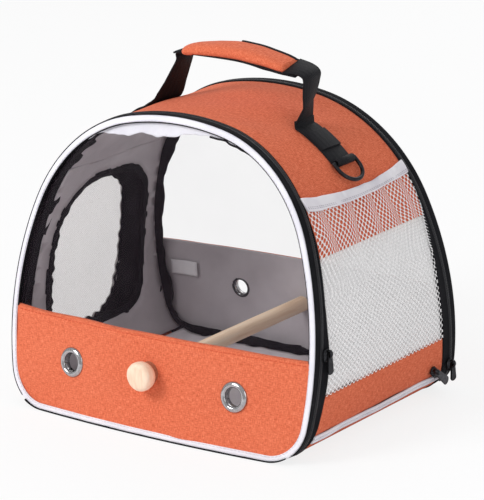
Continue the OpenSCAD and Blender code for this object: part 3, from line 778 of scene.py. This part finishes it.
    # eyelets and the washers behind them
    ring = [(0, -0.0042), (0, 0.0002), (0.0003, 0.0013), (0.0013, 0.0020), (0.0026, 0.0020),
            (0.0040, 0.0013), (0.0047, 0.0004), (0.0048, -0.0001), (0.0010, -0.0002), (0.0006, -0.0042)]
    back = [(0.0001, -0.0048), (0.0005, -0.0053), (0.0014, -0.0054), (0.0024, -0.0050),
            (0.0025, -0.0046), (0.0005, -0.0045)]
    for i, (ex, ez) in enumerate(eyes):
        m = face_matrix(end, ex, ez)
        for name, prof, mat in (("eyelet", ring, "nickel"), ("eyelet_back", back, "gunmetal")):
            prof = [(r + a, b) for a, b in prof + prof[:1]]
            piece = put(lathe(f"{end}_{name}_{i}", prof, mat, m), body, "eyelet_metal")
            if i == 0 and name == "eyelet":
                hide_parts(end + "_eyelets")


# Free edge of the pale strip in the front arch, a painted reflection of the lining in the clear window: place
# across it and reach below the outline, in millimetres
REFLECTION_EDGE = [(-92, 5.4), (-77, 7), (-64, 12), (-48, 15), (-33, 14.6), (-13, 17), (2, 15.5), (16, 12), (41, 9),
          (61, 8.2), (81, 6.6), (96, 5.6), (104, 5.2)]


def reflection_strip():
    """Pale strip under the top of the front arch, a painted reflection of the lining seen in the clear window,
    edged with dark piping on its right.
    """
    x, far = (spline(REFLECTION_EDGE, 300) * MM)[::-1].T
    s = np.interp(-x[::-1], -LP[60:-60, 0], LS[60:-60])[::-1]
    far = np.maximum(far + 0.0005 * waves(s, 0 * s, 91, 0.012), 0.0050)
    t = 0.0046 + (far - 0.0046)[:, None] * np.linspace(0, 1, 9)
    u = s[:, None] + 0 * t
    x, z = on_loop(u, t)
    curl = 0.0004 * (waves(u, t, 93, 0.02) + 2) * np.linspace(0, 1, 9)
    p, q = (on_dome("front", x, z, deep + curl) for deep in (0.0022, 0.0027))
    # the strip is a pale sheet behind the clear window in the binding's white: painted reflection
    put(grid("window_reflection_strip", p, cols(u, t), "binding", back=q), "front_door", "pale_fabric")
    x, z = on_loop(s, far)
    path = on_dome("front", x, z, 0.0024)[x > 0.034][::6]
    across = np.cross(np.gradient(path, axis=0), np.array([0, 1.0, 0]))
    put(ribbon("reflection_strip_piping", path, across, 0.0017, 0.0011, "tape", 120), "front_door", "zip_tape")


def coil(end, half, a):
    """The moulded coil of one zip half: a low rib with a tooth every 1.5 mm."""
    body, node, way = (end + "_door", "door", 1) if half == "door" else ("case", "zip", -1)
    s0, s1 = s_at(ZIP_END), s_at(ZIP_END, True)
    w = 0.0006
    prof = [(0.0, a - w), (-0.0005, a - w * 0.8), (-0.0007, a), (-0.0005, a + w * 0.8), (0.0, a + w)]
    rib = loop_profile(f"{end}_{half}_coil_rib", end, prof, "teeth", s0, s1)
    put(rib, body, "zip_coil", f"{end}_{node}_coil")
    k = np.arange(s0, s1, TOOTH) + (0 if half == "door" else TOOTH / 2)
    x, z = on_loop(k, -0.0008)
    across = np.tile([0, SIGN[end] * math.cos(LEAN[end]), -math.sin(LEAN[end])], (len(k), 1))
    teeth = capsules(f"{end}_{half}_teeth", on_plane(end, x, z, a + way * 0.0005), across, normals(k),
                     0.0019, 0.00042, "teeth")
    put(teeth, body, "zip_coil")


door("front")
door("rear")


def label():
    """Blank sewn label inside the rear band."""
    x, z = np.meshgrid(np.linspace(-0.135, -0.108, 12), np.linspace(0.0585, 0.0715, 8), indexing="ij")
    bend = 0.0003 * (waves(x, z, 8, 0.02) + 2)
    p, q = (cols(x, dome_y("rear", x, z, deep) - bend, z) for deep in (0.0062, 0.0058))
    put(grid("blank_tag", p, cols(x, z), "label", back=q), "rear_door", "label_fabric", "blank_label")


label()


# ---------------------------------------------------------------- case
def edge(end, a=None, more=0.0):
    return lambda s, z: plane_y(end, z, tape_edge(end, z, more) if a is None else a)


def sag(seed, amp, size, rim=0.12):
    """Slight unevenness that dies out at the sewn edges."""
    return lambda s, y, k: amp * waves(s, y, seed, size) * np.clip(np.minimum(k, 1 - k) / rim, 0, 1)


def case_skin():
    e = [edge(end, more=-0.0006) for end in ENDS]
    for name, s0, s1, out, n, bump, node in (
            ("top_fabric", s_at(TOP_Z[0]), s_at(TOP_Z[1], True), 0.0, (150, 40), sag(11, 0.0005, 0.07),
             "top_cover"),
            ("right_strip_fabric", *s_at(STRIP_Z), -0.0002, (16, 60), sag(12, 0.0004, 0.05), "right_strip"),
            ("base_fabric", s_at(BASE_Z, True) - LEN, s_at(BASE_Z), 0.0, (120, 40), None, "base_cover")):
        put(belt(name, s0, s1, e, "orange", out, FABRIC, *n, bump), "case", "shell_fabric", node)
    for k, j in ((0, 0), (0, 1), (1, 0), (1, 1)):
        s = s_at((0.0160, 0.0192)[j], k == 1)
        rows = []
        for q in np.linspace(0, PI2, 10, endpoint=False):
            x, z = on_loop(s + 0.0015 * math.sin(q), -0.0008 - 0.0012 * math.cos(q))
            y = np.linspace(e[0](s, z), e[1](s, z), 60)
            rows.append(cols(x, y, z + 0.0003 * waves(y, 0 * y, 20 + k, 0.04)))
        p = np.stack(rows, 1)
        cord = tube(f"cord_{k}_{j}", p, cols(p[:, :1, 1], np.linspace(0, 0.01, 10)), "binding")
        put(cord, "case", "pale_fabric", *(["side_cords"] if k + j == 0 else []))
    # dark zip tapes round both ends, with their coils
    for end in ENDS:
        rim = lambda more: lambda z: tape_edge(end, z, more)
        prof = [(0.0011, 0.0070), (-0.0001, 0.0070), (-0.0004, 0.0088), (-0.0006, rim(-0.0020)),
                (-0.0008, rim(-0.0010)), (-0.0006, rim(-0.0002)), (0.0, rim(0.0)), (0.0011, rim(-0.0003))]
        put(loop_profile(end + "_zip_band", end, prof, "tape", CORNER, LEN - CORNER), "case", "zip_tape",
            end + "_zip_tape")
        coil(end, "case", 0.0077)
        s = np.linspace(s_at(ZIP_END), s_at(ZIP_END, True), 700)
        x, z = on_loop(s, -0.0007)
        path = on_plane(end, x, z, tape_edge(end, z, -0.0017))
        row = stitch_row(end + "_zip_stitches", path, normals(s), "thread_black", 0.0032, 0.0023, 0.0002)
        put(row, "case", "zip_tape")


case_skin()


def ripple_loop(loop, seed, amp, size):
    """Scallops a closed outline inwards and outwards."""
    d = np.roll(loop, -1, 0) - np.roll(loop, 1, 0)
    n = cols(d[:, 1], -d[:, 0]) / np.linalg.norm(d, axis=1)[:, None]
    s = arc(loop)
    return loop + n * (amp * waves(s, 0 * s, seed, size, 5))[:, None]


OPEN = closed_spline(MM * np.array([
    (-57, 60), (-53, 46), (-42, 38), (-10, 36), (30, 36), (50, 38), (64, 50), (69, 70), (72, 100),
    (72, 130), (68, 150), (56, 163), (38, 171), (15, 174), (-10, 172.5), (-28, 162), (-42, 143),
    (-49, 115), (-54, 85)]), 260)
PALE = closed_spline(MM * np.array([
    (-45, 60), (-42, 51), (-30, 45.5), (-8, 44), (14, 46), (30, 58), (39, 76), (43, 98), (44, 120),
    (42, 142), (34, 156), (20, 163.5), (3, 165), (-14, 160), (-27, 147), (-36, 128), (-40, 98)]), 240)


def left_side():
    hole = ripple_loop(OPEN, 31, 0.0003, 0.02)
    z = np.linspace(0.0205, TOP_Z[1], 40)
    outer = np.concatenate([cols(edge(end, more=-0.0006)(0, z), z)[:: SIGN[end]] for end in ENDS])
    fabric = panel("left_fabric", outer, [hole], "orange", (0.0, FABRIC), 0.007,
                   lambda y, z: 0.0004 * waves(y, z, 13, 0.06))
    put(fabric, "case", "shell_fabric", "left_panel")
    # the dark frame of the side door and its net
    rim = panel("side_door_frame", hole * 0.996 + 0.004 * OPEN.mean(0), [ripple_loop(PALE, 35, 0.0011, 0.009)],
                "tape", (0.0006, 0.0030), 0.004, lambda y, z: 0.0006 * waves(y, z, 37, 0.012) + 0.0003)
    put(rim, "side_door", "zip_tape", "side_frame")
    net = panel("side_door_net", PALE + (PALE - PALE.mean(0)) * 0.05, [], "net_side", (0.0015, 0.0017), 0.006,
                lambda y, z: 0.0006 * waves(y, z, 39, 0.04))
    put(net, "side_door", "net", "side_mesh")
    rim, lip = (OPEN + (OPEN - OPEN.mean(0)) * k for k in (0.018, -0.085))
    tape = panel("side_opening_edge", ripple_loop(rim, 41, 0.0005, 0.012), [lip], "tape", (0.0040, 0.0062),
                 0.004, lambda y, z: 0.0003 * waves(y, z, 42, 0.012))
    put(tape, "case", "zip_tape", "side_opening_tape")
    return hole


def lining(hole):
    rims = (0.0155, 0.0087)
    e = [edge(end, a) for end, a in zip(ENDS, rims)]
    soft = lambda s, y, k: (-0.0006 * (waves(s, y, 15, 0.075) + 2.6)
                            * np.clip(np.minimum(k, 1 - k) / 0.1, 0, 1))
    top = belt("lining_top", s_at(TOP_LINING_Z[0]), s_at(TOP_LINING_Z[1], True), e, "lining", *LINING,
               90, 30, soft)
    put(top, "case", "lining_fabric", "lining")
    low = belt("lining_right_low", s_at(0.004), s_at(NET_Z[0]), e, "lining", *LINING, 20, 30)
    put(low, "case", "lining_fabric")
    z = np.linspace(0.006, TOP_Z[1], 40)
    outer = np.concatenate([cols(plane_y(end, z, a), z)[:: SIGN[end]] for end, a in zip(ENDS, rims)])
    left = panel("lining_left", outer, [hole], "lining", LINING, 0.007,
                 lambda y, z: -0.0004 * (waves(y, z, 17, 0.05) + 2.5))
    put(left, "case", "lining_fabric")
    # floor mat, creased, and turned up along both sides
    x = np.linspace(-0.122, 0.122, 60)[:, None]
    y0, y1 = (plane_y(end, 0.009, 0.0145) for end in ENDS)
    y = y0 + (y1 - y0) * np.linspace(0, 1, 50) + 0 * x
    x = x + 0 * y
    rise = np.clip((np.abs(x) - 0.100) / 0.022, 0, 1) ** 2 * 0.004
    crease = 0.0011 * waves(x, y, 19, 0.06) + 0.0007 * waves(x * 1.6 + y, y * 0.4, 21, 0.03)
    z = 0.0084 + rise + crease * np.clip((0.122 - np.abs(x)) / 0.02, 0, 1)
    mat = grid("floor_cloth", cols(x, y, z), cols(x, y), "mat", back=cols(x, y, 0.0056))
    put(mat, "case", "lining_fabric", "floor_mat")


def hinge_strip(end):
    """The strip that joins a door's lower edge to the base."""
    x = np.linspace(-0.132, 0.132, 120)
    face = dome_y(end, x, 0.001)
    rise = R_CO - np.sqrt(R_CO**2 - np.clip(np.abs(x) - C_C[0], 0, 1) ** 2)
    rows = []
    for i, (out, z) in enumerate(((-0.0022, 0.0001), (-0.0024, 0.0007), (-0.0020, 0.0011), (-0.0008, 0.0010),
                                  (0.0030, 0.0009), (0.0158, 0.0008), (0.0158, 0.0001))):
        z = z + 0.0001 * waves(x, 0 * x, 57, 0.03) * (0 < i < 5) + rise
        rows.append(cols(x, face + SIGN[end] * out if i < 5 else SIGN[end] * (out - DP / 2), z))
    uv = cols(x[:, None], 0.002 * np.arange(7))
    put(tube(end + "_hinge_strip", np.stack(rows, 1), uv, "tape"), "case", "zip_tape", end + "_hinge_tape")


def inner_tapes():
    """Dark tapes that cover the zips' seams inside, with an uneven free edge."""
    for end, seed, knots in (
            ("front", 51, [(0.0, 0.011), (0.089, 0.0135), (0.12, 0.0165), (0.152, 0.0215), (0.202, 0.0235)]),
            ("rear", 53, [(0.0, 0.018), (0.03, 0.014), (0.06, 0.0105), (0.134, 0.0092)])):
        rag = lambda s, z: plane_y(end, z, follow(z, knots) + 0.0009 * waves(s, 0 * s, seed, 0.011, 5))
        fold = lambda s, y, k: -0.0006 * waves(s, y, seed + 1, 0.016) * k
        band = belt(end + "_inner_band", 0.0, LEN, (edge(end, 0.0072), rag), "tape", 0.0047, 0.0058,
                    420, 10, fold)
        put(band, "case", "zip_tape", end + "_inner_tape")


def rear_flange():
    """Ragged dark flange that stands in from the wall round the rear opening."""
    s = np.linspace(0.0, LEN, 900)
    z = on_loop(s)[1] / MM
    left = [(0, 9.5), (30, 9), (50, 11), (90, 9), (120, 9), (160, 10), (200, 12.5), (245, 11)]
    right = [(0, 9.5), (30, 9), (60, 6), (200, 6), (245, 11)]
    wide = np.where(s > LS[HALF], follow(z, left), follow(z, right)) * MM
    wide = wide + 0.0008 * waves(s, 0 * s, 95, 0.011, 5) + 0.0008 * waves(s, 0 * s, 96, 0.04, 4)
    k = np.linspace(0, 1, 8)
    t = 0.0050 + wide[:, None] * k
    u = s[:, None] + 0 * t
    x, z = on_loop(u, t)
    a = 0.0095 + 0.0012 * waves(u, t, 97, 0.018) * k
    p, q = (on_plane("rear", x, z, b) for b in (a, a - 0.0008))
    put(grid("rear_inner_flange", p, cols(u, t), "tape", back=q, ring=True), "case", "zip_tape")


rear_flange()
lining(left_side())
inner_tapes()
hinge_strip("front")
hinge_strip("rear")


# Seen edges of the pocket's hem and its gathered pleats, as (depth, height) in millimetres
HEM_TOP = [(-75, 197.5), (-53, 194.4), (-47, 193.4), (-34, 191.5), (-17, 189.8), (1, 188.7), (20, 188.3),
           (42, 189.3), (57, 190.8), (67, 192.3), (80, 194)]
HEM_LOW = [(-75, 189.5), (-55, 185.5), (-42, 183.4), (-24, 181.9), (-5, 181.2), (14, 181.1), (35, 181.7),
           (56, 182.8), (68, 183.6), (80, 184.5)]
PLEATS = [((-41, 184), (-41, 140), 2.6), ((-6, 181), (-13, 150), 2.0), ((20, 181), (18, 152), 1.8),
          ((37, 182), (43, 150), 2.6), ((-66, 184), (-64, 120), 2.0), ((62, 182), (66, 130), 1.8)]
POCKET_Z = 0.0503  # height at which the pocket begins


def right_side():
    e = [edge(end) for end in ENDS]
    fine = belt("side_net_fine", *s_at(NET_Z), e, "net_fine", 0.0013, 0.0015, 50, 70,
                sag(23, 0.0004, 0.05))
    put(fine, "case", "net", "right_mesh")

    def at(knots, y):
        k = spline(np.array(knots, float), 200) * MM
        return np.interp(y, k[:, 0], k[:, 1])

    # the pocket's net, drawn in by its hem so that it hangs in soft pleats
    n, m = 130, 260
    k, f = np.linspace(0, 1, n), np.linspace(0, 1, m)
    y, z = np.empty((2, n, m))
    for i in range(n):
        z[i] = 0.12
        for _ in range(3):
            y0, y1 = (plane_y(end, h, tape_edge(end, h, 0.0002)) for end, h in zip(ENDS, z[i, [0, -1]]))
            y[i] = y0 + (y1 - y0) * f
            z[i] = POCKET_Z + (at(HEM_LOW, y[i]) + 0.0006 - POCKET_Z) * k[i]
    u, fold = y.copy(), 0 * y
    for (ya, za), (yb, zb), wide in PLEATS:
        line = np.interp(z, [zb * MM, za * MM], [yb * MM, ya * MM])
        fade = np.clip((z - (zb - 26) * MM) / ((za - zb + 10) * MM), 0, 1) ** 0.7
        q = (y - line) / (wide * MM)
        u = u + 0.0085 * fade * np.tanh(q)
        fold = fold + fade * (np.exp(-(q**2)) - 0.35 * np.exp(-((q / 2.6) ** 2)))
    free = (np.minimum(f, 1 - f) * 14).clip(0, 1)[None, :]
    slack = 0.0010 * (waves(y, z, 61, 0.05) + 1.3) * np.sin(math.pi * k)[:, None] * free
    t = -0.0010 - 0.0013 * fold * free - slack
    x, zz = on_loop(s_at(z), t)
    net = grid("pocket_cloth", cols(x, y, zz), cols(u, z), "net_wide")
    put(net, "case", "net", "pocket_net")
    # elastic hem
    yy = y[-1]
    low, top = at(HEM_LOW, yy), at(HEM_TOP, yy)
    rows = []
    for part, t in ((-0.02, -0.0009), (0.0, -0.0023), (0.12, -0.0028), (0.5, -0.0030), (0.88, -0.0028),
                    (1.0, -0.0022), (1.0, -0.0008), (0.5, -0.0004)):
        zt = low + (top - low) * part + 0.0002 * waves(yy, 0 * yy, 63, 0.02)
        x, zz = on_loop(s_at(zt), t - 0.0007 * fold[-1] * free[0] - 0.0003 * waves(yy, 0 * yy, 64, 0.015))
        rows.append(cols(x, yy + 0 * x, zz))
    p = np.stack(rows, 1)
    uv = cols(yy[:, None], np.array([0, 1, 2, 5, 8, 9, 11, 15]) * MM)
    put(tube("pocket_hem_tape", p, uv, "hem"), "case", "pale_fabric", "pocket_hem")
    for j, part in enumerate((0.14, 0.26)):
        x, zz = on_loop(s_at(low + (top - low) * part), -0.0031 - 0.0007 * fold[-1] * free[0])
        row = stitch_row(f"hem_stitches_{j}", cols(x, yy, zz), np.tile([1, 0, 0.3], (m, 1)),
                         "thread_grey", 0.0024, 0.0015, 0.0002)
        put(row, "case", "pale_fabric")


right_side()


# ---------------------------------------------------------------- perch, knobs
PERCH_Z = 0.0505
HIDDEN = ("base_board", "side_stiffener", "front_hoop", "rear_hoop")


def perch_parts():
    # the knob's profile from its face to its seat, as radius and depth
    prof = [(0.0, 0.0), (0.004, 0.0001), (0.0078, 0.0004), (0.0098, 0.0010), (0.0110, 0.0022),
            (0.0117, 0.0042), (0.0117, 0.0070), (0.0111, 0.0098), (0.0099, 0.0118), (0.0090, 0.0128),
            (0.0, 0.0129)]
    for end in ENDS:
        node = end + "_knob"
        lo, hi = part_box(node)
        sg = SIGN[end]
        out = Matrix.Translation((0, lo.y if sg > 0 else hi.y, PERCH_Z))
        knob = lathe(end + "_knob_turned", [(a, -b) for a, b in prof], "wood_knob",
                     out @ Matrix.Rotation(sg * math.pi / 2, 4, "X"), 72)
        put(knob, node, "wood", node)
        long = abs(hi.y - lo.y)
        thread = [(0.00195 if i % 2 else 0.00165, 0.0122 + i * 0.0005) for i in range(1, 44)]
        screw = [q for q in [(0.0, 0.012), (0.0020, 0.012)] + thread if q[1] < long] + [(0.0, long)]
        put(lathe(end + "_knob_screw", screw, "brass", out @ Matrix.Rotation(-sg * math.pi / 2, 4, "X"), 24),
            node, "wood")


perch_parts()
# CAD pieces that stay as they are, or lie hidden under the cloth
# the knob washers take the dark orange-brown of a painted shadow
for node, mat in (("front_knob_washer", "washer"), ("rear_knob_washer", "washer"), ("perch", "wood"),
                  ("perch_inserts", "brass"), ("left_ring", "black_metal"), ("right_ring", "black_metal"),
                  ("base_board", "lining"), ("side_stiffener", "tape"), ("front_hoop", "tape"),
                  ("rear_hoop", "tape")):
    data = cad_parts[node].data
    data.materials.clear()
    data.materials.append(MATS[mat])
    if node not in HIDDEN:
        data.polygons.foreach_set("use_smooth", [True] * len(data.polygons))


# ---------------------------------------------------------------- carrying loop
LOOP_Y, WEB, WEB_T = 0.013, 0.025, 0.0015
# Place across and height of the bar that holds the right ring
RING_BAR = (0.112583, 0.207934)
# The grip's line: place across, height and half height of the sleeve, in millimetres
GRIP = np.array([(-33, 281.9, 3.6), (-29, 282.4, 4.6), (-21, 283.3, 5.2), (-7, 284.2, 5.6), (10, 284.8, 5.8),
                 (28, 283.8, 5.8), (48, 280.8, 5.3), (59, 278.7, 4.7), (66, 277.2, 3.9)]) * MM
# The webbing's runs: body or the two bodies and blend points, replaced node, and per knot the
# place across and height in millimetres with the direction of the webbing's width
LEGS = {
    "grip_webbing": ("grip", None, "carry_webbing", [
        (-42, 280.2, 0, 1, 0), (-39, 281.0, 0, 1, 0), (-36, 281.2, 0, 1, 0), (20, 282.6, 0, 1, 0),
        (50, 279.2, 0, 0.98, 0.1), (62, 277.2, 0, 0.93, 0.30), (70, 276.2, 0, 0.92, 0.34),
        (78, 275.2, 0, 0.95, 0.22)]),
    "left_leg_low": ("case", "left_leg", "left_leg", [
        (-80, 229.6, 0, 1, 0), (-72, 234.0, 0, 1, 0), (-66.5, 236.6, 0.12, 0.98, 0),
        (-61.8, 239.4, 0.38, 0.92, 0), (-57.3, 244, 0.38, 0.92, 0), (-51.5, 254, 0.15, 0.98, 0)],
        (-68, 235.5), (-62, 242.5)),
    "left_leg_high": ("left_leg", "grip", None, [
        (-51.5, 254, 0.15, 0.98, 0), (-45.5, 265, 0, 1, 0), (-40.8, 274, -0.12, 0.99, 0),
        (-40.6, 279.0, -0.1, 0.99, 0), (-37, 281.6, 0, 1, 0), (-31, 282.2, 0, 1, 0)],
        (-42.2, 272), (-38.8, 281.5)),
    "right_leg_high": ("grip", "right_leg", None, [
        (66, 277.6, 0, 0.95, 0.25), (76, 276.6, 0, 0.95, 0.22), (82, 274.8, 0, 0.99, 0.1),
        (85, 271.6, -0.12, 0.99, 0), (84.4, 266, -0.15, 0.98, 0), (82.5, 257, -0.2, 0.97, 0)],
        (83, 275.8), (87, 266.8)),
    "right_leg_low": ("right_leg", None, "right_leg", [
        (82.5, 257, -0.2, 0.97, 0), (80.8, 250, -0.3, 0.95, 0), (78, 242, -0.34, 0.93, 0),
        (76, 236.5, -0.1, 0.98, 0)]),
}


def webbing(name, pts, width=WEB, thick=WEB_T, n=60, across=(0, 1, 0)):
    """Webbing along (x, z) points in the loop's plane."""
    path = [(x, LOOP_Y, z) for x, z in pts]
    return ribbon(name, path, np.zeros((len(path), 3)) + across, width, thick, "webbing", n)


def sleeve():
    path = spline(GRIP[:, :2], 60)
    high = np.interp(path[:, 0], GRIP[:, 0], GRIP[:, 2])
    q = np.linspace(0, PI2, 32, endpoint=False)
    ca, sa = np.cos(q), np.sin(q)
    rows = []
    for i, (x, z) in enumerate(path):
        half = 0.0138 - 0.0012 * (i in (0, 59)) - 0.0012 * (i / 59) ** 2
        oy = np.sign(ca) * np.abs(ca) ** 0.75 * half
        oz = np.sign(sa) * np.abs(sa) ** 0.85 * high[i]
        oz = oz + 0.0003 * waves(x + 0 * q, oy, 71, 0.02)
        rows.append(cols(x - 0.12 * oz, LOOP_Y + oy, z + oz))
    p = np.array(rows)
    uv = cols(path[:, :1], np.linspace(0, 0.07, 32))
    piece = put(tube("grip_cover", p, uv, "orange"), "grip", "shell_fabric", "grip_sleeve", "grip_core")
    # dark edging along the sleeve's seam, on top towards the right
    rim = np.array([r.mean(0) + (r[5] - r.mean(0)) * 1.03 for r in p[27:]])
    put(ribbon("grip_edging_0", rim, np.tile([0, 1, 0.0], (33, 1)), 0.0032, 0.0016, "webbing"), "grip",
        "webbing")


def loop_handle():
    sleeve()
    for name, (body, other, node, knots, *ends) in LEGS.items():
        knots = np.array(knots, float)
        run = name == "grip_webbing"
        o = webbing(name, knots[:, :2] * MM, thick=0.0016 if run else WEB_T, n=80 if run else 60,
                    across=knots[:, 2:])
        if node:
            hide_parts(node)
        if other:
            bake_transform(o)
        else:
            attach(o, body)
    # sewn straps down the shoulders, folded round the rings' bars, with their second layer
    for k, (x0, sx) in enumerate(((0.0756, 1), (0.0725, -1))):
        top = s_at(S_C[1] + math.sqrt(R_SH**2 - (x0 - S_C[0]) ** 2))
        low = s_at(RING_Z)
        x, z = on_loop(np.linspace(top, low, 14), -0.0012)
        pts = [(sx * a, b) for a, b in zip(x, z)]
        if sx > 0:
            pts = [(0.0758, 0.2372)] + pts
        o = put(webbing(f"sewn_strap_{k}", pts, thick=0.0016, n=70), "case", "webbing")
        if k == 0:
            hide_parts("handle_anchors")
        turn = np.linspace(0, PI2, 25)
        p = np.stack([cols(sx * RING_BAR[0] + r * np.cos(turn), LOOP_Y + w, RING_BAR[1] + r * np.sin(turn))
                      for w, r in ((-0.0105, 0.0020), (-0.0105, 0.0034), (0.0105, 0.0034), (0.0105, 0.0020))],
                     1)
        uv = cols(turn[:, None] * 0.0026, np.array([0, 0.0015, 0.0225, 0.024]))
        put(tube(f"ring_loop_{k}", p, uv, "webbing", ring=True), "case", "webbing")
        x, z = on_loop(np.linspace(top - 0.010, low + 0.002, 12)[:8], -0.0026)
        fold = webbing(f"strap_fold_{k}", [(sx * a, b) for a, b in zip(x, z)], 0.0245, 0.0013, 40)
        put(fold, "case", "webbing")


loop_handle()


# ---------------------------------------------------------------- zip pulls
def solid(name, bm, mat):
    me = bpy.data.meshes.new(name)
    bm.to_mesh(me)
    bm.free()
    return link(name, me, mat)


def tab(name, low, high, length, thick, mat):
    """A cast pull tab hanging along -Z from the origin, flat to X."""
    out = [(math.cos(a) * high / 2, 0.0004 + math.sin(a) * high / 2 * 0.4) for a in np.linspace(0, math.pi, 12)]
    out += [(math.cos(a) * low / 2, -length + low / 2 * 0.7 + math.sin(a) * low / 2 * 0.7)
            for a in np.linspace(math.pi, PI2, 16)]
    bm = bmesh.new()
    ext = bmesh.ops.extrude_face_region(bm, geom=[bm.faces.new([bm.verts.new((-thick / 2, *q)) for q in out])])
    bmesh.ops.translate(bm, verts=[v for v in ext["geom"] if isinstance(v, bmesh.types.BMVert)],
                        vec=(thick, 0, 0))
    bmesh.ops.recalc_face_normals(bm, faces=bm.faces)
    sharp = [e for e in bm.edges if e.calc_face_angle(0) > 0.9]
    bmesh.ops.bevel(bm, geom=sharp, offset=thick * 0.3, segments=2, affect="EDGES")
    return solid(name, bm, mat)


def block(name, size, mat, bevel):
    bm = bmesh.new()
    bmesh.ops.create_cube(bm, size=1)
    bmesh.ops.scale(bm, vec=size, verts=bm.verts)
    bmesh.ops.bevel(bm, geom=list(bm.edges), offset=bevel, segments=3, affect="EDGES")
    obj = solid(name, bm, mat)
    obj.data.polygons.foreach_set("use_smooth", [True] * len(obj.data.polygons))
    return obj


def sliders():
    # the bridge that holds a pull
    arch = [(0.0024, 0, 0.0040), (0.0046, 0, 0.0044), (0.0060, 0, 0.0030), (0.0062, 0, 0.0012),
            (0.0048, 0, -0.0014), (0.0024, 0, -0.0024)]
    for k, (body, at, turn, mat, length) in enumerate((
            ("front_pull", (0.152805, -0.0750386, 0.083), 0, "black_metal", 0.017),
            ("rear_pull", (0.149927, 0.090979, 0.025), 0, "black_metal", 0.015),
            ("low_pull", (0.149387, 0.070, 0.025), 50, "gunmetal", 0.020))):
        m = Matrix.Translation(at) @ Matrix.Rotation(turn * DEG, 4, "X")
        base = block(f"slider_{k}", (0.0030, 0.0078, 0.0098), "black_metal", 0.0012)
        bridge = ribbon(f"slider_bridge_{k}", arch, np.tile([0, 1, 0], (6, 1)), 0.0030, 0.0010,
                        "black_metal", 30)
        pull = tab(f"pull_tab_{k}", 0.0074, 0.0052, length, 0.0014, mat)
        base.data.transform(m @ Matrix.Translation((0.0013, 0, 0)))
        bridge.data.transform(m)
        pull.data.transform(m @ Matrix.Translation((0.0043, 0, 0.0024)))
        put(base, "case", "dark_metal", *(["zip_sliders"] if k == 0 else []))
        put(bridge, "case", "dark_metal")
        put(pull, body, "dark_metal", body)


sliders()


# ---------------------------------------------------------------- stage
FLOOR_GLOW, WORLD_LIGHT = 0.82, 0.56
# Lamps: name, place, height of the point they face, size, watts
LAMPS = [("key", (-0.85, -1.85, 1.6), 0.12, 1.2, 36), ("fill", (1.9, -0.5, 0.9), 0.12, 1.3, 5),
         ("back", (-0.4, 1.8, 1.5), 0.15, 1.4, 8)]


def seen(g):
    """1 for what the camera sees, also through clear parts, and 0 for light on the object."""
    rays = g.add("LightPath")
    return g.math("MAXIMUM", rays.outputs["Is Camera Ray"], rays.outputs["Is Transmission Ray"])


def stage():
    g = Graph("floor")
    see = seen(g)
    g.set(Base_Color=(0.93, 0.93, 0.94, 1), Roughness=0.9)
    glow = g.add("Emission", Color=(1, 1, 1, 1), Strength=1.0)
    mixer = g.add("MixShader", i1=g.bsdf, i2=glow)
    g.put(mixer.inputs[0], g.math("MULTIPLY", see, FLOOR_GLOW))
    g.put(g.tree.nodes["Material Output"].inputs[0], mixer)
    me = bpy.data.meshes.new("floor")
    corners = [(x, y, -0.0004) for x, y in ((-8, -8), (8, -8), (8, 8), (-8, 8))]
    me.from_pydata(corners, [], [(0, 1, 2, 3)])
    link("floor", me, "floor")

    world = bpy.data.worlds.new("world")
    bpy.context.scene.world = world
    g = Graph("world", world)
    sky = g.tree.nodes["Background"]
    g.put(sky.inputs[0], (1, 1, 1, 1))
    g.put(sky.inputs[1], g.math("MULTIPLY_ADD", seen(g), 1 - WORLD_LIGHT, WORLD_LIGHT))

    for name, loc, aim, size, power in LAMPS:
        data = bpy.data.lights.new(name, "AREA")
        data.shape, data.size, data.energy = "DISK", size, power
        o = link(name, data)
        o.location = loc
        o.rotation_mode = "QUATERNION"
        o.rotation_quaternion = (Vector((0, 0, aim)) - Vector(loc)).to_track_quat("-Z", "Y")
    bpy.context.scene.view_settings.view_transform = "Standard"


stage()
